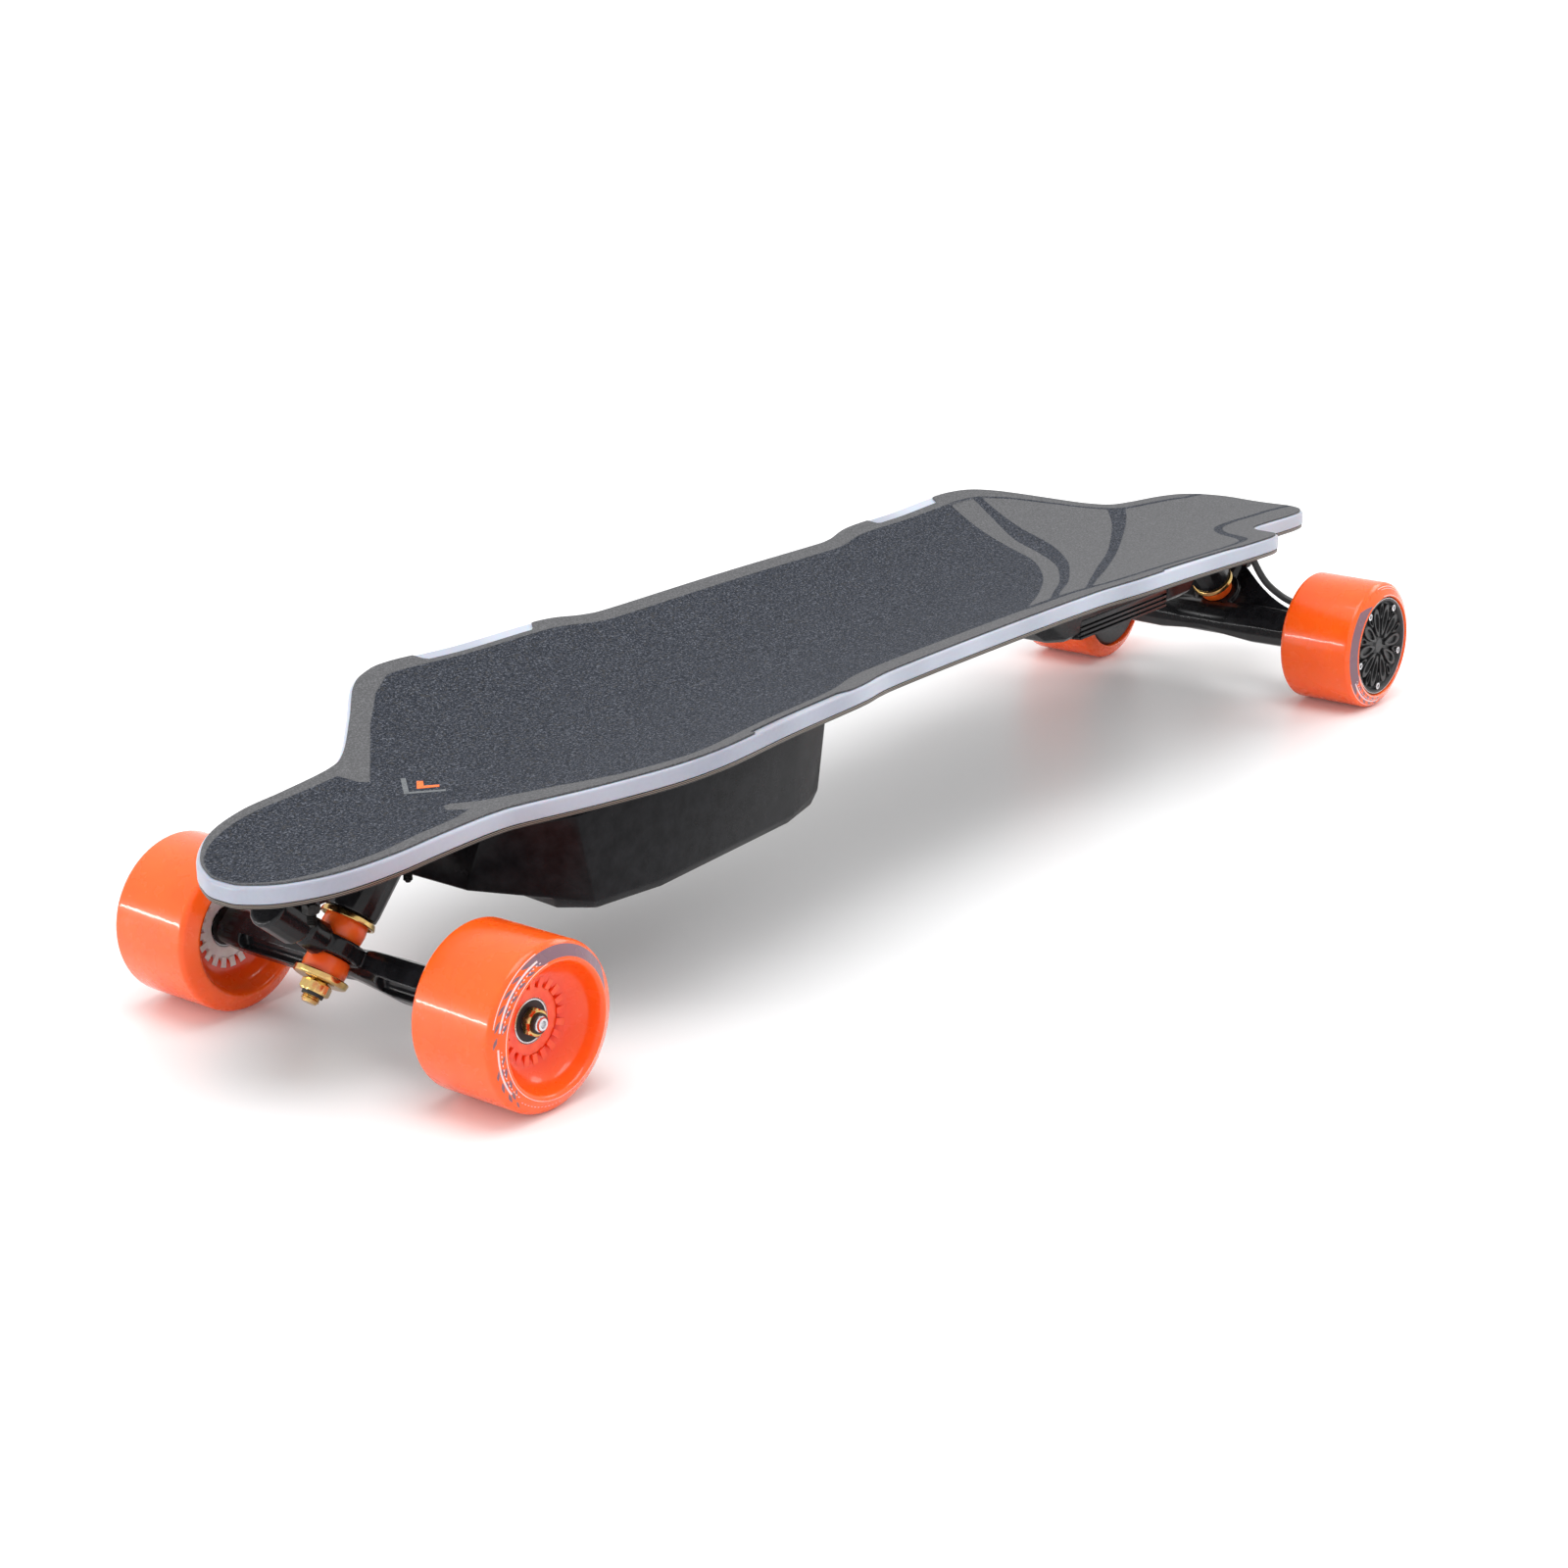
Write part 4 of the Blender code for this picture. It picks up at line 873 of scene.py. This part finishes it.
def add_tooth(bm, turn, face):
    half = 1.5 * MM
    inner, outer = 16.4 * MM, 21.6 * MM
    z_low, z_high = 12.0 * MM, 14.6 * MM
    spin = Matrix.Rotation(turn, 4, "Z")
    corners = []
    for r, lift in ((inner, 14.0 * MM), (outer, z_high)):
        width = half if r == inner else half * 1.2
        for w in (-width, width):
            for z in (z_low, lift):
                corners.append(bm.verts.new(spin @ Vector((r, w, face * z))))
    a, b, c, d, e, f, g, h = corners
    for quad in ((a, b, d, c), (e, g, h, f), (a, c, g, e), (b, f, h, d), (a, e, f, b), (c, d, h, g)):
        made = bm.faces.new(quad)
        made.material_index = 1 if face > 0 else 0


def bearing_mesh(low, flip):
    """Outer race, recessed shield and inner race."""
    high = low + 7 * MM
    face = high if flip > 0 else low
    other = low if flip > 0 else high
    sink = -0.5 * MM * flip
    profile = [
        (4.3 * MM, other), (4.3 * MM, face), (5.6 * MM, face), (5.7 * MM, face + sink),
        (10.1 * MM, face + sink), (10.2 * MM, face), (10.8 * MM, face), (11 * MM, face + sink * 0.6),
        (11 * MM, other),
    ]
    return turned(profile, 72, [0, 0, 0, 1, 0, 0, 0, 0, 0])


def hex_nut(name, looks, mat, body, node, place, radius, low, high, bore, collar=0.0):
    """A hexagon nut with chamfered corners, a bore and, where collar is set, a nylon collar that tall."""
    bm = bmesh.new()
    flat = radius * math.cos(math.pi / 6)
    steps = 72
    levels = (
        (flat * 0.97, low), (radius, low + (high - low) * 0.14), (radius, high - (high - low) * 0.16),
        (flat * 0.97, high),
    )

    def ring(limit, z):
        loop = []
        for k in range(steps):
            turn = math.tau * k / steps
            sector = (turn + math.pi / 6) % (math.pi / 3) - math.pi / 6
            r = min(limit, flat / math.cos(sector))
            loop.append(bm.verts.new((r * math.cos(turn), r * math.sin(turn), z)))
        return loop

    outer = [ring(*level) for level in levels]
    if collar:
        outer += [ring(flat * 0.8, high), ring(flat * 0.78, high + collar)]
    inner = [ring(bore, high + collar), ring(bore, low)]
    strips = skin(bm, outer + inner, closed=True)
    if collar:
        for face in strips[4] + strips[5]:
            face.material_index = 1
    finish_mesh(name, bm, [mat, looks["rubber"]], body, node, place, 25)


def threaded_rod(radius, low, high, pitch, tip):
    """Profile of a rod with thread ridges between low and high, and a closed end below where tip is set."""
    root = radius - 0.55 * MM
    points = []
    for k in range(int((high - low) / pitch)):
        z = low + k * pitch
        points += [(root, z), (radius, z + pitch * 0.35), (radius, z + pitch * 0.55)]
    points.append((root, high))
    if tip:
        points = [(0, low - 1 * MM), (radius - 1.1 * MM, low - 1 * MM)] + points
    return points


def rear_wheel(looks, side, word):
    place = wheel_frame(REAR_AXLE_X, side)
    body = f"rear_{word}_wheel"
    sleeve = turned(tyre_outer(33.5 * MM), 128)
    finish_mesh(
        f"rear_{word}_sleeve", sleeve, [looks[f"rear_print_{side}"]], body, [f"rear_{word}_tyre"], place, 60,
    )
    finish_mesh(
        f"rear_{word}_cover", cover_mesh(), [looks["motor"], looks["nylon"]], body,
        [f"rear_{word}_motor_faceplate"], place, 40,
    )
    for k in range(COVER_SCREWS):
        turn = math.tau * k / COVER_SCREWS + 0.3
        x, y = COVER_SCREW_CIRCLE * math.cos(turn), COVER_SCREW_CIRCLE * math.sin(turn)
        cap_screw(f"rear_{word}_cover_screw_{k + 1}", looks, body, place @ Matrix.Translation((x, y, 0)))
    rotor = turned(rounded([
        (12.6 * MM, -25 * MM), (30.4 * MM, -25 * MM), (30.4 * MM, 22 * MM), (33.2 * MM, 22 * MM),
        (33.2 * MM, -26 * MM), (31.2 * MM, -28 * MM), (22 * MM, -28 * MM), (21 * MM, -27.2 * MM),
        (15 * MM, -27.2 * MM), (14.4 * MM, -28 * MM), (12.6 * MM, -28 * MM), (12.6 * MM, -25.2 * MM),
    ], 0.5 * MM, 2), 96)
    finish_mesh(
        f"rear_{word}_rotor_can", rotor, [looks["motor"]], body, [f"rear_{word}_motor_rotor"], place, 35,
    )


def cover_mesh():
    """The hub cap: a rim, a recessed face, a boss, and long raised petals with short ones between them."""
    bm = turned(rounded([
        (0.0, 26.0 * MM), (4.6 * MM, 26.2 * MM), (6.2 * MM, 24.9 * MM), (26 * MM, 24.6 * MM),
        (29.6 * MM, 24.9 * MM), (30.8 * MM, 28.0 * MM), (32.4 * MM, 28.0 * MM), (33.2 * MM, 27.2 * MM),
        (33.2 * MM, 22.6 * MM), (0.0, 22.6 * MM),
    ], 0.6 * MM, 3), 120)
    for shift, start, end, half in ((0, 6.5, 28.6, 4.9), (0.5, 18.5, 29.6, 2.8)):
        for k in range(PETALS):
            add_petal(bm, math.tau * (k + shift) / PETALS, start * MM, end * MM, half * MM)
    for k in range(RIM_DASHES):
        add_dash(bm, math.tau * k / RIM_DASHES)
    return bm


def add_petal(bm, turn, start, end, half):
    """A raised leaf outline: a rib loop with a sunken middle."""
    spin = Matrix.Rotation(turn, 4, "Z")
    steps = 14
    shapes = ((1.0, 24.8), (0.96, 26.9), (0.84, 27.1), (0.66, 26.9), (0.6, 25.4))
    loops = []
    for share, z in shapes:
        loop = []
        for k in range(steps):
            a = math.tau * k / steps
            along = (start + end) / 2 + (end - start) / 2 * share * math.cos(a)
            bulge = half * share * math.sin(a) * (0.75 + 0.25 * math.cos(a))
            loop.append(bm.verts.new(spin @ Vector((along, bulge, z * MM))))
        loops.append(loop)
    skin(bm, loops)
    bm.faces.new(loops[0])
    bm.faces.new(loops[-1])


def add_dash(bm, turn):
    """One stretch of the fine pale ring around the cap's rim."""
    width = math.tau / RIM_DASHES
    corners = []
    for r in (32.15 * MM, 32.45 * MM):
        for t in (turn, turn + width):
            for z in (27.6 * MM, 28.06 * MM):
                corners.append(bm.verts.new((r * math.cos(t), r * math.sin(t), z)))
    a, b, c, d, e, f, g, h = corners
    for quad in ((a, b, d, c), (e, g, h, f), (b, f, h, d)):
        bm.faces.new(quad).material_index = 1


def cap_screw(name, looks, body, spot):
    """A socket screw: a round head with a hexagon socket."""
    profile = rounded([
        (2.4 * MM, 24.2 * MM), (2.4 * MM, 27.4 * MM), (1.2 * MM, 27.6 * MM), (1.15 * MM, 26.4 * MM),
        (0.0, 26.3 * MM),
    ], 0.3 * MM, 2)
    screw = turned([(0.0, 24.2 * MM), *profile], 24)
    finish_mesh(name, screw, [looks["steel"]], body, (), spot, 30)


# Trucks


def truck_hardware(looks, prefix, axle_x, outward):
    place = kingpin_frame(axle_x, outward)
    for word, face, direction in (("upper", 16.5 * MM, 1), ("lower", -16.5 * MM, -1)):
        rim = -direction * 2.2 * MM
        profile = rounded([
            (5.1 * MM, face), (12.3 * MM, face), (12.9 * MM, face + rim), (14.5 * MM, face + rim * 0.9),
            (13.9 * MM, face + direction * 0.9 * MM), (12.2 * MM, face + direction * 1.5 * MM),
            (5.1 * MM, face + direction * 1.5 * MM),
        ], 0.5 * MM, 3)
        finish_mesh(
            f"{prefix}_cup_washer_{word}", turned(profile, 96), [looks["zinc"]], "deck",
            [f"{prefix}_washer_{word}"], place, 40,
        )
    for word, low, high in (("upper", 4.8 * MM, 16.2 * MM), ("lower", -16.2 * MM, -4.8 * MM)):
        profile = rounded([
            (5.1 * MM, high), (10.9 * MM, high), (11.6 * MM, (high + low) / 2), (10.9 * MM, low),
            (5.1 * MM, low),
        ], 1.0 * MM, 4)
        bm = turned(profile, 80)
        bm.transform(place)
        bush = finish_mesh(f"{prefix}_urethane_bushing_{word}", bm, [looks["bushing"]], None, (), None, 50)
        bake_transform(bush)
        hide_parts(f"{prefix}_bushing_{word}")
    thread = threaded_rod(4.7 * MM, -28.6 * MM, -18.2 * MM, 1.0 * MM, True)
    rest = [
        (KINGPIN_RADIUS, -18 * MM), (KINGPIN_RADIUS, 45 * MM), (KINGPIN_HEAD_RADIUS, 45 * MM),
        (KINGPIN_HEAD_RADIUS, 52 * MM), (0.0, 52 * MM),
    ]
    finish_mesh(
        f"{prefix}_kingpin_bolt", turned(thread + rest, 48), [looks["zinc"]], "deck", [f"{prefix}_kingpin"],
        place, 30,
    )
    flipped = place @ Matrix.Rotation(math.pi, 4, "X")
    hex_nut(
        f"{prefix}_kingpin_locknut", looks, looks["zinc"], "deck", [f"{prefix}_kingpin_nut"], flipped,
        KINGPIN_HEAD_RADIUS, 18.6 * MM, 24.4 * MM, 4.9 * MM, 1.6 * MM,
    )
    web = add_web if outward < 0 else None
    cast(f"{prefix}_hanger", looks["truck"], f"{prefix}_hanger", 0.7 * MM, 5, web)
    cast(f"{prefix}_baseplate", looks["truck"], "deck", 0.7 * MM, 3)
    for index in range(1, 5):
        truck_bolt(looks, f"{prefix}_bolt_{index}")
    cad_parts[f"{prefix}_pivot_cup"].data.materials[0] = looks["rubber"]


def truck_bolt(looks, node):
    """Countersunk screw, hexagon lock nut and bare thread end, on the CAD bolt's own axis."""
    low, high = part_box(node)
    middle = (low + high) / 2
    place = Matrix.Translation((middle.x, middle.y, 0))
    end = low.z
    nut_low = end + 7 * MM
    thread = threaded_rod(2.35 * MM, end + 1 * MM, nut_low, 0.8 * MM, True)
    rest = [(2.3 * MM, nut_low + 5 * MM), (2.3 * MM, high.z - 2.6 * MM), (4.5 * MM, high.z), (0.0, high.z)]
    finish_mesh(
        f"{node}_screw", turned(thread + rest, 24), [looks["black_steel"]], "deck", [node], place, 30,
    )
    hex_nut(
        f"{node}_nut", looks, looks["black_steel"], "deck", (), place, 4.5 * MM, nut_low, nut_low + 5 * MM,
        2.4 * MM,
    )


def axle_parts(looks):
    for word, side in (("left", 1), ("right", -1)):
        place = wheel_frame(FRONT_AXLE_X, side)
        hex_nut(
            f"front_{word}_wheel_nut", looks, looks["zinc"], "front_hanger", [f"front_{word}_axle_nut"],
            place, 7.5 * MM, 12.7 * MM, 17.2 * MM, 4.2 * MM, 1.4 * MM,
        )
    axles = (("front", FRONT_AXLE_X, 4 * MM, 125.5 * MM), ("rear", REAR_AXLE_X, 5 * MM, 123 * MM))
    for prefix, axle_x, radius, end in axles:
        place = Matrix.Translation((axle_x, 0, WHEEL_Z)) @ Matrix.Rotation(math.radians(-90), 4, "X")
        thread = threaded_rod(radius, -end + 1 * MM, -end + 9 * MM, 1.0 * MM, False)
        hollow = [
            (0.0, -end + 1.2 * MM), (1.6 * MM, -end + 1.1 * MM), (1.9 * MM, -end), (radius - 1 * MM, -end),
        ]
        half = hollow + thread + [(radius, -end + 10 * MM)]
        whole = half + [(r, -z) for r, z in reversed(half)]
        finish_mesh(
            f"{prefix}_axle_rod", turned(whole, 40), [looks["steel"]], f"{prefix}_hanger", [f"{prefix}_axle"],
            place, 30,
        )


def motor_cables(looks):
    """Two leads from under the deck down to the motors."""
    for word, side in (("right", 1), ("left", -1)):
        place = truck_frame(REAR_AXLE_X, -1)
        knots = [place @ (Vector((x, side * y, z)) * MM) for x, y, z in LEAD_ROUTE]
        points = smooth_line(knots, 2 * MM)
        cable = tube(f"{word}_motor_lead", points, LEAD_RADIUS, looks["cable"])
        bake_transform(cable)
        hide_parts(f"{word}_motor_cable")


def tube(name, points, radius, mat, steps=20):
    bm = bmesh.new()
    loops = []
    up = Vector((1, 0, 0))
    for i, point in enumerate(points):
        ahead = points[min(i + 1, len(points) - 1)]
        behind = points[max(i - 1, 0)]
        along = (ahead - behind).normalized()
        side = along.cross(up).normalized()
        other = along.cross(side)
        loops.append([
            bm.verts.new(point + (side * math.cos(a) + other * math.sin(a)) * radius)
            for a in (math.tau * k / steps for k in range(steps))
        ])
    skin(bm, loops)
    bm.faces.new(loops[0])
    bm.faces.new(loops[-1])
    return finish_mesh(name, bm, [mat], None)


# Boxes under the deck


def boxes(looks):
    edged("battery_enclosure", looks["box"], "deck", 1.1 * MM)
    edged("esc_enclosure", looks["box"], "deck", 0.9 * MM)
    edged("esc_heatsink", looks["heatsink"], "deck", 0.25 * MM, 2)
    plain = (
        ("battery_pack", "cells"), ("esc_board", "board"), ("charge_port", "box_inside"),
        ("power_button", "rubber"), ("charge_port_cap", "rubber"),
    )
    for node, key in plain:
        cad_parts[node].data.materials[0] = looks[key]
    for word in ("left", "right"):
        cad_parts[f"rear_{word}_motor_stator"].data.materials[0] = looks["copper"]


# Stage, lights and camera


def stage():
    bpy.ops.mesh.primitive_plane_add(size=30)
    floor = bpy.context.object
    floor.name = "studio_floor"
    look = Look("floor_painted_glow", 0.35, Specular_IOR_Level=0.3)
    # Painted light: the floor glows white, faintly near the board and more strongly away from it.
    look.shader.inputs["Emission Color"].default_value = (1.0, 1.0, 1.0, 1.0)
    away = look.polar()[3]
    look.feed(look.shader.inputs["Emission Strength"], look.span(away, 0.6, 1.7, 0.03, 0.18))
    look.colour(look.ramp(look.noise(2.0), (0.3, (0.86, 0.86, 0.865)), (0.7, (0.88, 0.88, 0.885))))
    floor.data.materials.append(look.mat)
    world = bpy.data.worlds.new("studio")
    bpy.context.scene.world = world
    world.use_nodes = True
    background = world.node_tree.nodes["Background"]
    background.inputs["Color"].default_value = (1.0, 1.0, 1.0, 1.0)
    background.inputs["Strength"].default_value = 1.0
    bpy.context.scene.view_settings.view_transform = "Standard"


def softbox(name, place, aim, size, power):
    light = bpy.data.lights.new(name, "AREA")
    light.shape = "RECTANGLE"
    light.size, light.size_y = size
    light.energy = power
    obj = bpy.data.objects.new(name, light)
    bpy.context.scene.collection.objects.link(obj)
    obj.location = place
    obj.rotation_euler = (Vector(aim) - Vector(place)).to_track_quat("-Z", "Y").to_euler()


def camera():
    data = bpy.data.cameras.new("camera")
    data.sensor_width = 36
    data.lens = CAMERA_LENS
    data.clip_end = 100
    obj = bpy.data.objects.new("camera", data)
    bpy.context.scene.collection.objects.link(obj)
    up = CAMERA_BACK.cross(CAMERA_RIGHT)
    turn = Matrix((CAMERA_RIGHT, up, CAMERA_BACK)).transposed().to_4x4()
    obj.matrix_world = Matrix.Translation(CAMERA_PLACE) @ turn
    bpy.context.scene.camera = obj


looks = all_looks()
for side in (1, -1):
    looks[f"printed_{side}"] = urethane_look(f"orange_urethane_front_{side}", side, math.radians(13))
    looks[f"rear_print_{side}"] = urethane_look(f"orange_urethane_rear_{side}", side, math.radians(118))
deck_plies(looks)
deck_rail(looks)
grip_sheet(looks)
grip_mark("mark_bar", GREY_MARK, looks["mark_grey"])
grip_mark("mark_tick", ORANGE_MARK, looks["mark_orange"])
for prefix, axle_x, outward in (("front", FRONT_AXLE_X, 1), ("rear", REAR_AXLE_X, -1)):
    truck_hardware(looks, prefix, axle_x, outward)
axle_parts(looks)
motor_cables(looks)
for word, side in (("left", 1), ("right", -1)):
    front_wheel(looks, side, word)
    rear_wheel(looks, side, word)
boxes(looks)
stage()
softbox("key", (0.4, 0.2, 2.6), (0, 0, 0.1), (2.2, 1.6), 42)
softbox("strip", (2.3, -1.3, 0.36), (0.4, 0.1, 0.05), (1.5, 0.09), 14)
softbox("rim", (-2.0, 0.6, 1.5), (0, 0, 0.1), (1.6, 0.8), 14)
camera()
